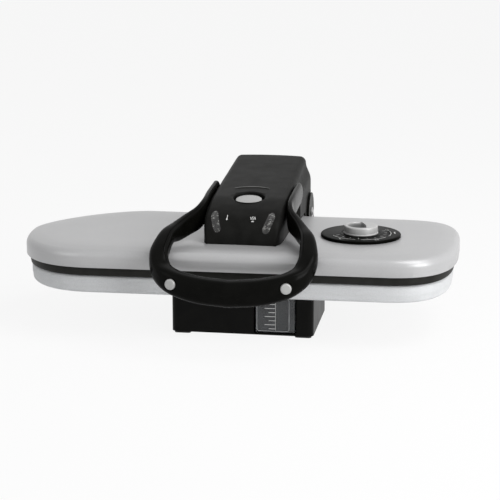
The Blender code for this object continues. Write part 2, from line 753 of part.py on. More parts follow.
def build_base():
    """Base box with its neck, the hinge tower with two round ears, the window for the tank, and its plate."""
    left, right = AXIS_X - BASE_HALF_WIDTH, AXIS_X + BASE_HALF_WIDTH
    outline = rounded_rectangle((left, BASE_FRONT_Y), (right, BASE_BACK_Y), BASE_ROUNDING)
    housing = plate("base_housing", outline, "XY", BASE_BOTTOM, BASE_TOP, BLACK_MATTE)
    bevel(housing, BASE_WALL * BASE_EDGE_SHARE, 2)
    half = tower_half_width()
    inner_half = half - EAR_THICKNESS
    neck_start = BASE_BACK_Y - BASE_ROUNDING - BASE_WALL
    side_view = [(neck_start, BASE_TOP), (neck_start, BASE_BOTTOM), (tower_back_y(), BASE_BOTTOM)]
    side_view += arc((PIVOT_Y, PIVOT_Z), EAR_RADIUS, 0, 180, 3 * CORNER_STEPS)
    side_view += [(tower_front_y(), BASE_TOP)]
    tower = plate("tower_block", side_view, "YZ", AXIS_X - half, AXIS_X + half)
    join(housing, tower)
    low = BASE_BOTTOM - OVERRUN
    ceiling = BASE_TOP - BASE_WALL
    inside = box(
        "base_inside",
        (left + BASE_WALL, BASE_FRONT_Y + BASE_WALL, low),
        (right - BASE_WALL, BASE_BACK_Y - BASE_WALL, ceiling),
    )
    neck_inside = box(
        "neck_inside",
        (AXIS_X - inner_half, neck_start - OVERRUN, low),
        (AXIS_X + inner_half, tower_back_y() - TOWER_WALL, ceiling),
    )
    above_ears = PIVOT_Z + EAR_RADIUS + OVERRUN
    well = box(
        "tower_well",
        (AXIS_X - inner_half, tower_front_y() + TOWER_WALL, low),
        (AXIS_X + inner_half, tower_back_y() - TOWER_WALL, above_ears),
    )
    back_gap = box(
        "tower_back_gap",
        (AXIS_X - inner_half, PIVOT_Y, PIVOT_Z - TOWER_BACK_BELOW_PIVOT),
        (AXIS_X + inner_half, tower_back_y() + OVERRUN, above_ears),
    )
    front_gap = box(
        "tower_front_gap",
        (AXIS_X - inner_half, tower_front_y() - OVERRUN, PIVOT_Z - TOWER_FRONT_BELOW_PIVOT),
        (AXIS_X + inner_half, PIVOT_Y, above_ears),
    )
    window = plate(
        "tank_window",
        rounded_rectangle(
            (TANK_LEFT_X - TANK_CLEARANCE, TANK_BOTTOM - TANK_CLEARANCE),
            (TANK_RIGHT_X + TANK_CLEARANCE, LID_TOP + 2 * TANK_CLEARANCE),
            TANK_WINDOW_ROUNDING,
        ),
        "XZ",
        BASE_FRONT_Y - OVERRUN,
        BASE_FRONT_Y + BASE_WALL + OVERRUN,
    )
    pin_hole = cylinder(
        "ear_pin_hole",
        (AXIS_X - half - OVERRUN, PIVOT_Y, PIVOT_Z),
        (1, 0, 0),
        PIN_RADIUS + PIN_CLEARANCE,
        2 * (half + OVERRUN),
    )
    gland_hole = cylinder(
        "gland_hole",
        (AXIS_X + GLAND_SIDE, tower_back_y() - TOWER_WALL - OVERRUN, GLAND_Z),
        (0, 1, 0),
        GLAND_RADIUS + GAP,
        TOWER_WALL + 2 * OVERRUN,
    )
    cut(housing, inside, neck_inside, well, back_gap, front_gap, window, pin_hole, gland_hole)
    seat_top = PIVOT_Z - TOWER_BACK_BELOW_PIVOT
    seat = box(
        "spring_seat",
        (
            AXIS_X - inner_half - EAR_THICKNESS / 2,
            PIVOT_Y + SPRING_COIL_RADIUS + SPRING_WIRE_RADIUS + GAP,
            seat_top - SPRING_SEAT_HEIGHT,
        ),
        (AXIS_X + inner_half + EAR_THICKNESS / 2, tower_back_y() - TOWER_WALL / 2, seat_top),
    )
    join(housing, seat)

    margin = BASE_WALL + GAP
    body = rounded_rectangle(
        (left + margin, BASE_FRONT_Y + margin), (right - margin, BASE_BACK_Y - margin), BASE_ROUNDING / 2
    )
    base_plate = plate("base_plate", body, "XY", BASE_PLATE_BOTTOM, BASE_PLATE_TOP, STEEL)
    neck = box(
        "neck_plate",
        (AXIS_X - inner_half + GAP, BASE_BACK_Y - 2 * margin, BASE_PLATE_BOTTOM),
        (AXIS_X + inner_half - GAP, tower_back_y() - TOWER_WALL - GAP, BASE_PLATE_TOP),
    )
    join(base_plate, neck)


def build_board():
    """Riser, steel pan, foam and the drawn-down fabric cover of the lower board."""
    outline = rounded_rectangle(
        (AXIS_X - RISER_HALF_WIDTH, RISER_FRONT_Y), (AXIS_X + RISER_HALF_WIDTH, RISER_BACK_Y), RISER_ROUNDING
    )
    plate("board_riser", outline, "XY", RISER_BOTTOM, RISER_BOTTOM + RISER_THICKNESS, BLACK_MATTE)
    plate("board_pan", platen_outline(PAN_INSET), "XY", PAN_BOTTOM, PAN_BOTTOM + PAN_THICKNESS, STEEL)

    height = COVER_TOP - COVER_BOTTOM
    reach = COVER_CROWN_INSET - COVER_BULGE_INSET
    rings = [outline_ring(COVER_HEM_INSET, COVER_BOTTOM)]
    foam_rings = []
    for rise, way in COVER_SIDE_SHARES:
        inset = COVER_BULGE_INSET + reach * way
        level = COVER_BOTTOM + height * rise
        rings.append(outline_ring(inset, level))
        inner_level = min(level - COVER_THICKNESS - GAP * rise, FOAM_TOP)
        if level > FOAM_BOTTOM + COVER_THICKNESS:
            skin = 2 * COVER_THICKNESS + GAP
            foam_rings.append(outline_ring(inset + skin, max(inner_level, FOAM_BOTTOM)))
    foam_rings.insert(0, outline_ring(PAN_INSET, FOAM_BOTTOM))
    cover = loft("pad_cover", rings, FABRIC, cap_start=False)
    solidify(cover, COVER_THICKNESS)
    loft("foam_pad", foam_rings, FOAM)


def sole_hole_places():
    """Steam holes in two rows that follow the soleplate's long middle."""
    places = []
    columns = SOLE_HOLE_COLUMNS
    left = LEFT_FRONT_RUN_X
    right = RIGHT_RUN_X
    for i in range(columns):
        x = left + (right - left) * i / (columns - 1)
        for row in (-1, 0, 1):
            stagger = (right - left) / (columns - 1) / 2 if row == 0 else 0
            if row == 0 and i == columns - 1:
                continue
            places.append((x + stagger, middle_y() + row * ELEMENT_INSET * SOLE_HOLE_ROW_SHARE))
    return places


def middle_y():
    return (LEFT_FRONT_Y + LEFT_BACK_Y) / 2


def post_places():
    """Where the soleplate's posts reach the shell, inside the heating element's loop."""
    spread_x = (RIGHT_RUN_X - LEFT_FRONT_RUN_X) * POST_SPREAD_SHARE
    clear = ELEMENT_INSET + 3 * ELEMENT_RADIUS + SOLE_POST_RADIUS
    spread_y = (LEFT_BACK_Y - LEFT_FRONT_Y) / 2 - clear
    return [(sx * spread_x, middle_y() + sy * spread_y) for sx in (-1, 0, 1) for sy in (-1, 1)]


def build_platen():
    """Soleplate with steam holes and posts, skirt, heating element and the pressed shell over them."""
    sole = plate("soleplate", platen_outline(SOLE_INSET), "XY", PRESS_PLANE + GAP, SOLE_TOP, ALUMINIUM)
    for i, (x, y) in enumerate(post_places()):
        start = (x, y, SOLE_TOP - SOLE_THICKNESS / 2)
        length = SHELL_CEILING - GAP - start[2]
        join(sole, cylinder(f"sole_post_{i}", start, (0, 0, 1), SOLE_POST_RADIUS, length, sides=12))
    holes = bmesh.new()
    for x, y in sole_hole_places():
        turn = Matrix.Translation((x, y, (PRESS_PLANE + SOLE_TOP) / 2))
        bmesh.ops.create_cone(
            holes,
            cap_ends=True,
            segments=SOLE_HOLE_SIDES,
            radius1=SOLE_HOLE_RADIUS,
            radius2=SOLE_HOLE_RADIUS,
            depth=SOLE_THICKNESS + 2 * OVERRUN,
            matrix=turn,
        )
    cut(sole, mesh_object("steam_holes", holes))

    inner = platen_outline(SKIRT_INSET + SKIRT_THICKNESS)
    outer = platen_outline(SKIRT_INSET)
    plate("sole_skirt", outer, "XY", PRESS_PLANE, SKIRT_TOP, BLACK_MATTE, holes=[inner])

    run = platen_outline(ELEMENT_INSET)
    level = SOLE_TOP + GAP + ELEMENT_RADIUS
    behind = [p for p in run if abs(p[0]) > ELEMENT_TAIL_X or p[1] < middle_y()]
    first = next(i for i, p in enumerate(behind) if p[0] < 0 and p[1] > middle_y())
    ordered = behind[first:] + behind[:first]
    back_y = max(p[1] for p in run)
    start = [(-ELEMENT_TAIL_X, back_y - ELEMENT_TAIL_LENGTH, level), (-ELEMENT_TAIL_X, back_y, level)]
    finish = [(ELEMENT_TAIL_X, back_y, level), (ELEMENT_TAIL_X, back_y - ELEMENT_TAIL_LENGTH, level)]
    points = start + [(x, y, level) for x, y in ordered] + finish
    tube("heating_element", points, ELEMENT_RADIUS, STEEL, sides=1)

    rings = [outline_ring(0, RIM_Z)]
    shoulder = RIM_Z + SHELL_SIDE_HEIGHT
    for i in range(SHELL_FILLET_STEPS + 1):
        a = math.radians(84) * i / SHELL_FILLET_STEPS
        rings.append(outline_ring(SHELL_FILLET * (1 - math.cos(a)), shoulder + SHELL_FILLET * math.sin(a)))
    half_way = (SHELL_FILLET + SHELL_CROWN_INSET) / 2
    rings.append(outline_ring(half_way, SHELL_TOP - SHELL_CROWN_RISE / 4))
    rings.append(outline_ring(SHELL_CROWN_INSET, SHELL_TOP))
    shell = loft("platen_shell", rings, SATIN_GREY, cap_start=False)
    solidify(shell, SHELL_WALL)
    cut(
        shell,
        cylinder(
            "shell_spindle_hole",
            (DIAL_X, DIAL_Y, SHELL_CEILING - OVERRUN),
            (0, 0, 1),
            SPINDLE_RADIUS + GAP,
            SHELL_WALL + 2 * OVERRUN,
            sides=12,
        ),
    )


def build_dial():
    """Printed disc, knob with its half-moon scoop and spindle, and the thermostat that it turns."""
    disc_bottom = SHELL_TOP + GAP
    disc_top = disc_bottom + DIAL_THICKNESS
    bore = SPINDLE_RADIUS + GAP
    profile = [
        (bore, disc_top),
        (DIAL_RADIUS - DIAL_EDGE, disc_top),
        (DIAL_RADIUS, disc_top - DIAL_EDGE),
        (DIAL_RADIUS, disc_bottom),
        (bore, disc_bottom),
    ]
    centre = (DIAL_X, DIAL_Y, 0)
    turned("dial_disc", profile, centre, (0, 0, 1), BLACK_GLOSS, closed=True, steps=48)

    knob_bottom = disc_top + GAP
    knob_top = knob_bottom + KNOB_HEIGHT
    spindle_end = SHELL_CEILING - SPINDLE_DEPTH
    profile = [
        (0, knob_top),
        (KNOB_RADIUS - KNOB_EDGE, knob_top),
        (KNOB_RADIUS, knob_top - KNOB_EDGE),
        (KNOB_RADIUS, knob_bottom),
        (SPINDLE_RADIUS, knob_bottom),
        (SPINDLE_RADIUS, spindle_end),
        (0, spindle_end),
    ]
    knob = turned("dial_knob", profile, centre, (0, 0, 1), SILVER, steps=40)
    scoop = plate(
        "knob_scoop",
        arc((DIAL_X, DIAL_Y), KNOB_SCOOP_RADIUS, -100, 80, 2 * CORNER_STEPS),
        "XY",
        knob_top - KNOB_SCOOP_DEPTH,
        knob_top + OVERRUN,
    )
    cut(knob, scoop)

    body_top = SHELL_CEILING - GAP
    body_bottom = body_top - THERMOSTAT_HEIGHT
    socket = SPINDLE_RADIUS + GAP
    profile = [
        (socket, body_top),
        (THERMOSTAT_RADIUS, body_top),
        (THERMOSTAT_RADIUS, body_bottom),
        (socket, body_bottom),
    ]
    turned("thermostat", profile, centre, (0, 0, 1), BLACK_MATTE, closed=True, steps=SMALL_SIDES)


def arm_top_points():
    """Side view of the arm frame's back and top, from the lug's back up and forward to its front end."""
    return [
        (ARM_BACK_Y, ARM_REAR_TOP - ARM_BACK_FALL_SHARE * ARM_SHOULDER),
        (ARM_BACK_Y - ARM_SHOULDER, ARM_REAR_TOP - ARM_SHOULDER / 2),
        (ARM_BACK_Y - ARM_BACK_RUN_SHARE * ARM_SHOULDER, ARM_REAR_TOP),
        (ARM_STEP_Y, ARM_REAR_TOP),
        (ARM_KNEE_Y, ARM_FRONT_TOP),
        (ARM_FRONT_Y, ARM_FRONT_TOP),
    ]


def arm_outline():
    """Side view of the arm frame, counter-clockwise from its lower front corner, with its round lug."""
    points = [(ARM_FRONT_Y, ARM_BOTTOM), (PIVOT_Y - 3 * ARM_LUG_RADIUS, ARM_BOTTOM)]
    points += arc((PIVOT_Y, PIVOT_Z), ARM_LUG_RADIUS, 180, 360, 2 * CORNER_STEPS)
    return points + arm_top_points()


def arm_hollow_outline():
    """The arm's outline drawn in by its wall, and open below."""
    low = PIVOT_Z - ARM_LUG_RADIUS - OVERRUN
    points = [(ARM_FRONT_Y, low), (ARM_BACK_Y, low)] + arm_top_points()
    return offset_outline(points, [0] + [ARM_WALL] * (len(points) - 1))


def handle_pivot_z():
    return SHELL_TOP + HANDLE_PIVOT_ABOVE_SHELL


def build_arm():
    """Pressed channel with its lugs on the hinge, the mount plate, the bushes, the pin and its clips."""
    frame = plate("arm_frame", arm_outline(), "YZ", AXIS_X - ARM_HALF_WIDTH, AXIS_X + ARM_HALF_WIDTH, STEEL)
    inner_half = ARM_HALF_WIDTH - ARM_WALL
    hollow = plate("arm_hollow", arm_hollow_outline(), "YZ", AXIS_X - inner_half, AXIS_X + inner_half)
    reach = ARM_HALF_WIDTH + OVERRUN
    bush_hole = cylinder(
        "bush_hole", (AXIS_X - reach, PIVOT_Y, PIVOT_Z), (1, 0, 0), BUSH_RADIUS + GAP, 2 * reach
    )
    shaft_hole = cylinder(
        "arm_shaft_hole",
        (AXIS_X - reach, HANDLE_PIVOT_Y, handle_pivot_z()),
        (1, 0, 0),
        HANDLE_SHAFT_RADIUS + GAP,
        2 * reach,
    )
    cut(frame, hollow, bush_hole, shaft_hole)

    mount_bottom = SHELL_TOP + GAP
    outline = rounded_rectangle(
        (AXIS_X - MOUNT_HALF_WIDTH, MOUNT_FRONT_Y),
        (AXIS_X + MOUNT_HALF_WIDTH, MOUNT_BACK_Y),
        RISER_ROUNDING / 2,
    )
    plate("platen_mount", outline, "XY", mount_bottom, mount_bottom + ARM_LIFT, ALUMINIUM)

    bore = PIN_RADIUS + PIN_CLEARANCE
    for side, name in ((-1, "left"), (1, "right")):
        inner = inner_half - GAP
        outer = ARM_HALF_WIDTH + GAP + BUSH_FLANGE
        profile = [
            (bore, outer),
            (BUSH_FLANGE_RADIUS, outer),
            (BUSH_FLANGE_RADIUS, outer - BUSH_FLANGE),
            (BUSH_RADIUS, outer - BUSH_FLANGE),
            (BUSH_RADIUS, inner),
            (bore, inner),
        ]
        centre = (AXIS_X, PIVOT_Y, PIVOT_Z)
        turned("hinge_bush_" + name, profile, centre, (side, 0, 0), BRASS, closed=True, steps=SMALL_SIDES)
        start = tower_half_width() + GAP
        ring = [
            (bore, start + CLIP_THICKNESS),
            (CLIP_RADIUS, start + CLIP_THICKNESS),
            (CLIP_RADIUS, start),
            (bore, start),
        ]
        turned("hinge_clip_" + name, ring, centre, (side, 0, 0), STEEL, closed=True, steps=SMALL_SIDES)
    half = tower_half_width() + GAP + CLIP_THICKNESS + PIN_END
    cylinder("hinge_pin", (AXIS_X - half, PIVOT_Y, PIVOT_Z), (1, 0, 0), PIN_RADIUS, 2 * half, STEEL, sides=24)


def spring_points(side):
    """A torsion spring wound on the hinge pin, hooked under the arm's cheek and braced on the tower's seat."""
    start = ARM_HALF_WIDTH + GAP + BUSH_FLANGE + GAP + SPRING_WIRE_RADIUS
    count = SPRING_TURNS * SPRING_TURN_POINTS + SPRING_TURN_POINTS // 4
    points = []
    for i in range(count + 1):
        angle = math.radians(90) - 2 * math.pi * i / SPRING_TURN_POINTS
        x = start + SPRING_PITCH * i / SPRING_TURN_POINTS
        points.append((x, SPRING_COIL_RADIUS * math.cos(angle), SPRING_COIL_RADIUS * math.sin(angle)))
    x, y, z = points[0]
    hook = [(x - SPRING_HOOK, y - SPRING_ARM_LEG, z), (x, y - SPRING_ARM_LEG, z)]
    x, y, z = points[-1]
    points = hook + points + [(x, y, z - SPRING_TOWER_LEG)]
    return [(AXIS_X + side * x, PIVOT_Y + y, PIVOT_Z + z) for x, y, z in points]


def build_springs():
    """The two lift springs that help the arm up."""
    for side, name in ((-1, "left"), (1, "right")):
        points = spring_points(side)
        origin = (AXIS_X, PIVOT_Y, PIVOT_Z)
        tube("lift_spring_" + name, points, SPRING_WIRE_RADIUS, STEEL, sides=1, origin=origin)
    clear = SPRING_PITCH - 2 * SPRING_WIRE_RADIUS
    print("least gap between spring turns, mm:", round(clear * 1000, 2))


def station_place(station):
    """A hood station as real sizes: Y, half width, top Z and fillet."""
    along, width, height, fillet = station
    return (
        HOOD_FRONT_Y + (HOOD_BACK_Y - HOOD_FRONT_Y) * along,
        HOOD_HALF_WIDTH * width,
        HOOD_BOTTOM + HOOD_HEIGHT * height,
        HOOD_FILLET * fillet,
    )


def hood_section(station, grow=0, flare=0, low=HOOD_BOTTOM):
    """A ring across the hood at one station, from its lower left edge over the top to its lower right one."""
    y, half, top, fillet = station_place(station)
    half, top = half + grow, top + grow
    shoulder = top - HOOD_CROWN - fillet
    side = [(half + flare * out, shoulder - HOUSING_FLARE_HEIGHT * fall) for fall, out in HOUSING_FLARE_SHARES]
    lower = [(half + flare, low)] + (side[::-1] if flare else [])
    bend = arc((half - fillet, shoulder), fillet, 0, 90, HOOD_ARC_STEPS)
    right = lower + bend
    left = [(-x, z) for x, z in right]
    return [(AXIS_X + x, y, z) for x, z in left + [(0, top)] + right[::-1]]


def skin(name, rings, look, wall, cap_front=False, cap_back=False):
    """A moulding over open rings, closed at the ends that are named, with its wall on the inner side."""
    bm = bmesh.new()
    rows = [[bm.verts.new(point) for point in ring] for ring in rings]
    for a, b in zip(rows, rows[1:]):
        for i in range(len(a) - 1):
            bm.faces.new((a[i], a[i + 1], b[i + 1], b[i]))
    if cap_front:
        bm.faces.new(rows[0])
    if cap_back:
        bm.faces.new(rows[-1])
    obj = mesh_object(name, bm, look, (AXIS_X, PIVOT_Y, PIVOT_Z))
    solidify(obj, wall)
    return obj


def cover_rings(grow=0):
    """The cover's rings; grown outward, the front moves out as well."""
    rings = [hood_section(station, grow) for station in COVER_STATION_SHARES]
    if grow:
        rings = [[(x, y - grow, z) for x, y, z in ring] for ring in rings]
    return rings


def steam_button_frame():
    """Where the steam button's axis meets the hood, and its direction, square to the hood there."""
    points = [station_place(station) for station in COVER_STATION_SHARES]
    for a, b in zip(points, points[1:]):
        if a[0] < STEAM_BUTTON_Y <= b[0]:
            share = (STEAM_BUTTON_Y - a[0]) / (b[0] - a[0])
            height = a[2] + (b[2] - a[2]) * share
            slope = Vector((b[0] - a[0], b[2] - a[2])).normalized()
    return Vector((AXIS_X, STEAM_BUTTON_Y, height)), Vector((0, -slope.y, slope.x))


def build_hood():
    """The hood's cover with its button cup and lamp windows, and the lamps in them."""
    hood = skin("hood_cover", cover_rings(), CHARCOAL, HOOD_WALL, cap_front=True)
    top, axis = steam_button_frame()
    cup_depth = STEAM_CUP_DEPTH + STEAM_CUP_FLOOR
    cup = cylinder(
        "button_cup", top - axis * cup_depth, axis, STEAM_CUP_RADIUS + STEAM_CUP_WALL, cup_depth - HOOD_WALL
    )
    recess = cylinder(
        "button_recess", top - axis * STEAM_CUP_DEPTH, axis, STEAM_CUP_RADIUS, STEAM_CUP_DEPTH + 2 * OVERRUN
    )
    throat = cylinder(
        "button_throat",
        top - axis * (cup_depth + OVERRUN),
        axis,
        STEAM_STEM_RADIUS + BUTTON_CLEARANCE,
        cup_depth + 2 * OVERRUN,
    )
    join(hood, cup)
    side_holes = cylinder(
        "hood_shaft_hole",
        (AXIS_X - HOOD_HALF_WIDTH - OVERRUN, HANDLE_PIVOT_Y, handle_pivot_z()),
        (1, 0, 0),
        HANDLE_SHAFT_RADIUS + BUTTON_CLEARANCE,
        2 * (HOOD_HALF_WIDTH + OVERRUN),
    )
    cut(hood, recess, throat, side_holes)

    for side, name in ((-1, "left"), (1, "right")):
        cut(hood, lamp_block("lamp_window_" + name, side, GAP))
        lens = skin("lamp_" + name, cover_rings(LAMP_SHOWN), DARK_LENS, LAMP_DEPTH, cap_front=True)
        boolean(lens, lamp_block("lamp_block_" + name, side, 0), "INTERSECT")


def lamp_block(name, side, grow):
    """A block of a lens's outline, from in front of the nose back through it."""
    low = Vector((AXIS_X + side * LAMP_LOW_SPREAD, HOOD_BOTTOM + LAMP_LOW_HEIGHT))
    high = Vector((AXIS_X + side * LAMP_HIGH_SPREAD, HOOD_BOTTOM + LAMP_HIGH_HEIGHT))
    turn = math.degrees(math.atan2(high.y - low.y, high.x - low.x))
    radius = LAMP_WIDTH / 2 + grow
    outline = arc(high, radius, turn - 90, turn + 90, 6) + arc(low, radius, turn + 90, turn + 270, 6)
    return plate(name, outline, "XZ", HOOD_FRONT_Y - OVERRUN, HOOD_FRONT_Y + LAMP_CUT_DEPTH)


def build_rear_housing():
    """The housing over the hinge: the cover's skin carried on and flared at its sides, open below."""
    rings = []
    for station in HOUSING_STATION_SHARES:
        along = station[0]
        y, half, top, fillet = station_place(station)
        low = HOOD_BOTTOM
        if along >= HOUSING_TAIL_SHARE:
            way = (along - HOUSING_TAIL_SHARE) / (1 - HOUSING_TAIL_SHARE)
            tail = HOOD_BOTTOM - HOUSING_TAIL_DROP
            low = tail + (PIVOT_Z + HOUSING_LOW_ABOVE_PIVOT - tail) * way
        ring = hood_section(station, flare=HOUSING_HALF_WIDTH - half, low=low)
        if not rings:
            ring = [(x, y + HOOD_SEAM, z) for x, y, z in ring]
        rings.append(ring)
    housing = skin("rear_housing", rings, CHARCOAL, HOOD_WALL, cap_back=True)
    notch = cylinder(
        "pin_notch",
        (AXIS_X - HOUSING_HALF_WIDTH - OVERRUN, PIVOT_Y, PIVOT_Z),
        (1, 0, 0),
        PIN_NOTCH_RADIUS,
        2 * (HOUSING_HALF_WIDTH + OVERRUN),
        sides=24,
    )
    cut(housing, notch)


def coil_points(radius, low, high, turns):
    """Points of a compression spring about Z, from one height to another."""
    count = turns * SPRING_TURN_POINTS
    points = []
    for i in range(count + 1):
        angle = 2 * math.pi * i / SPRING_TURN_POINTS
        height = low + (high - low) * i / count
        points.append(Vector((radius * math.cos(angle), radius * math.sin(angle), height)))
    return points


def compression_spring(name, origin, axis, radius, wire, length, turns):
    """A small spring that stands between two faces, a length apart, along an axis from its origin."""
    place = Matrix.Translation(origin) @ turn_to(axis)
    points = coil_points(radius, GAP + wire, length - GAP - wire, turns)
    clear = (length - 2 * GAP - 2 * wire) / turns - 2 * wire
    print(f"{name}: least gap between turns {clear * 1000:.2f} mm")
    return tube(name, [place @ p for p in points], wire, STEEL, sides=1, origin=origin)


def build_steam_button():
    """Domed button with its stem, the spring under it, the switch and the control board."""
    top, axis = steam_button_frame()
    cap_top = -STEAM_BUTTON_SUNK
    cap_bottom = cap_top - STEAM_BUTTON_HEIGHT
    board_bottom = ARM_FRONT_TOP + GAP
    board_top = board_bottom + CONTROL_BOARD_THICKNESS
    stem_end = -(STEAM_CUP_DEPTH + STEAM_CUP_FLOOR + STEAM_BUTTON_TRAVEL)
    profile = [
        (0, cap_top),
        (STEAM_BUTTON_RADIUS / 2, cap_top - STEAM_BUTTON_DOME / 4),
        (STEAM_BUTTON_RADIUS - STEAM_BUTTON_DOME, cap_top - STEAM_BUTTON_DOME),
        (STEAM_BUTTON_RADIUS, cap_top - 2 * STEAM_BUTTON_DOME),
        (STEAM_BUTTON_RADIUS, cap_bottom),
        (STEAM_STEM_RADIUS, cap_bottom),
        (STEAM_STEM_RADIUS, stem_end),
        (0, stem_end),
    ]
    turned("steam_button", profile, top, axis, SILVER, steps=40)
    compression_spring(
        "steam_button_spring",
        top - axis * STEAM_CUP_DEPTH,
        axis,
        STEAM_SPRING_RADIUS,
        STEAM_SPRING_WIRE,
        STEAM_CUP_DEPTH + cap_bottom,
        STEAM_SPRING_TURNS,
    )
    box(
        "control_board",
        (AXIS_X - CONTROL_BOARD_HALF_WIDTH, CONTROL_BOARD_FRONT_Y, board_bottom),
        (AXIS_X + CONTROL_BOARD_HALF_WIDTH, CONTROL_BOARD_BACK_Y, board_top),
        GREEN_BOARD,
    )
    pressed = top + axis * (stem_end - STEAM_BUTTON_TRAVEL)
    box(
        "steam_switch",
        (AXIS_X - SWITCH_HALF_WIDTH, pressed.y - SWITCH_HALF_LENGTH, board_top + GAP),
        (AXIS_X + SWITCH_HALF_WIDTH, pressed.y + SWITCH_HALF_LENGTH, pressed.z - 4 * GAP),
        BLACK_MATTE,
    )


def handle_arm_x():
    """Distance of the handle arms' middle from the middle plane."""
    return HOOD_HALF_WIDTH + HANDLE_SIDE_GAP + HANDLE_ARM_THICKNESS / 2


def handle_half_path():
    """Centre line and section of one half of the handle, from its pivot to the middle of the front bar."""
    arm_x = handle_arm_x()
    width_span = HANDLE_BAR_DEPTH - HANDLE_ARM_THICKNESS
    height_span = HANDLE_BAR_HEIGHT - HANDLE_ARM_HEIGHT
    rows = []
    for out, reach, drop, wide, tall in HANDLE_SIDE_SHARES:
        rows.append(
            (
                arm_x + (HANDLE_HALF_SPREAD - arm_x) * out,
                HANDLE_PIVOT_Y - HANDLE_REACH * reach,
                handle_pivot_z() - HANDLE_DROP_HEIGHT * drop,
                HANDLE_ARM_THICKNESS + width_span * wide,
                HANDLE_ARM_HEIGHT + height_span * tall,
            )
        )
    side_height = rows[-1][4]
    for out, reach, drop, wide, tall in HANDLE_FRONT_SHARES:
        rows.append(
            (
                HANDLE_HALF_SPREAD * out,
                HANDLE_PIVOT_Y - HANDLE_REACH * reach,
                handle_pivot_z() - HANDLE_DROP_HEIGHT * drop,
                HANDLE_ARM_THICKNESS + width_span * wide,
                side_height + (HANDLE_BAR_HEIGHT - side_height) * tall,
            )
        )
    return rows


def handle_path():
    """The whole loop from the left pivot round the front to the right pivot, as (place, width, height)."""
    half = smooth_path(handle_half_path(), HANDLE_STEPS)
    left = [(Vector((-x, y, z)), w, h) for x, y, z, w, h in half]
    right = [(Vector((x, y, z)), w, h) for x, y, z, w, h in reversed(half[:-1])]
    return left + right


def handle_sections(parts):
    """Rings of the handle's outer or inner moulding along the loop, with round ends at the pivots."""
    path = handle_path()
    places = [p for p, _, _ in path]
    rings = []
    last = len(path) - 1
    end_radius = HANDLE_ARM_HEIGHT / 2
    for i, (place, width, height) in enumerate(path):
        ahead = places[min(i + 1, last)] - places[max(i - 1, 0)]
        along = ahead.normalized()
        if i in (0, last):
            along = Vector((0, -1 if i == 0 else 1, 0))
        up = (Vector((0, 0, 1)) - along * along.z).normalized()
        out = along.cross(up)
        if i == 0:
            for k in range(HANDLE_END_STEPS):
                a = math.radians(80) * (1 - k / HANDLE_END_STEPS)
                back = place - along * end_radius * math.sin(a)
                rings.append(half_section(back, out, up, width, height * math.cos(a), parts))
        rings.append(half_section(place, out, up, width, height, parts))
        if i == last:
            for k in range(HANDLE_END_STEPS):
                a = math.radians(80) * (k + 1) / HANDLE_END_STEPS
                back = place + along * end_radius * math.sin(a)
                rings.append(half_section(back, out, up, width, height * math.cos(a), parts))
    return rings


def section_point(angle, width, height):
    """A point of the rounded-rectangle section at an angle from its outer side."""
    a = math.radians(angle)
    power = 2 / HANDLE_SQUARENESS_SHARE
    u = width / 2 * math.copysign(abs(math.cos(a)) ** power, math.cos(a))
    w = height / 2 * math.copysign(abs(math.sin(a)) ** power, math.sin(a))
    return Vector((u, w))


def half_section(place, out, up, width, height, part):
    """One moulding's share of the section: the run between the two parting angles, closed by their chord."""
    low, high = PARTING_LOW_ANGLE, PARTING_HIGH_ANGLE
    first, last = (low, high) if part == "outer" else (high, low + 360)
    steps = HANDLE_SECTION_POINTS // 2
    flat = [section_point(first + (last - first) * k / steps, width, height) for k in range(steps + 1)]
    chord = (section_point(high, width, height) - section_point(low, width, height)).normalized()
    aside = Vector((chord.y, -chord.x)) * (GAP / 2)
    if part == "inner":
        aside = -aside
    flat[0] = flat[0] + aside
    flat[-1] = flat[-1] + aside
    centre = Vector((AXIS_X, 0, 0))
    return [centre + place + out * p.x + up * p.y for p in flat]


def button_frames():
    """Where each handle button's axis meets the front bar's surface, and its direction."""
    path = handle_path()
    frames = {}
    for side, name in ((-1, "left"), (1, "right")):
        target = side * HANDLE_HALF_SPREAD * BUTTON_SPREAD_SHARE
        best = None
        for i in range(1, len(path) - 1):
            a, b = path[i][0], path[i + 1][0] if i + 2 < len(path) else path[i][0]
            in_front = a.y < HANDLE_PIVOT_Y - HANDLE_FRONT_SHARE * HANDLE_REACH
            if (a.x - target) * (b.x - target) <= 0 and in_front:
                along = (b - a).normalized()
                share = (target - a.x) / (b.x - a.x)
                place = a + (b - a) * share
                up = (Vector((0, 0, 1)) - along * along.z).normalized()
                out = along.cross(up)
                best = (Vector((AXIS_X, 0, 0)) + place + out * path[i][1] / 2, out)
        frames[name] = best
    return frames


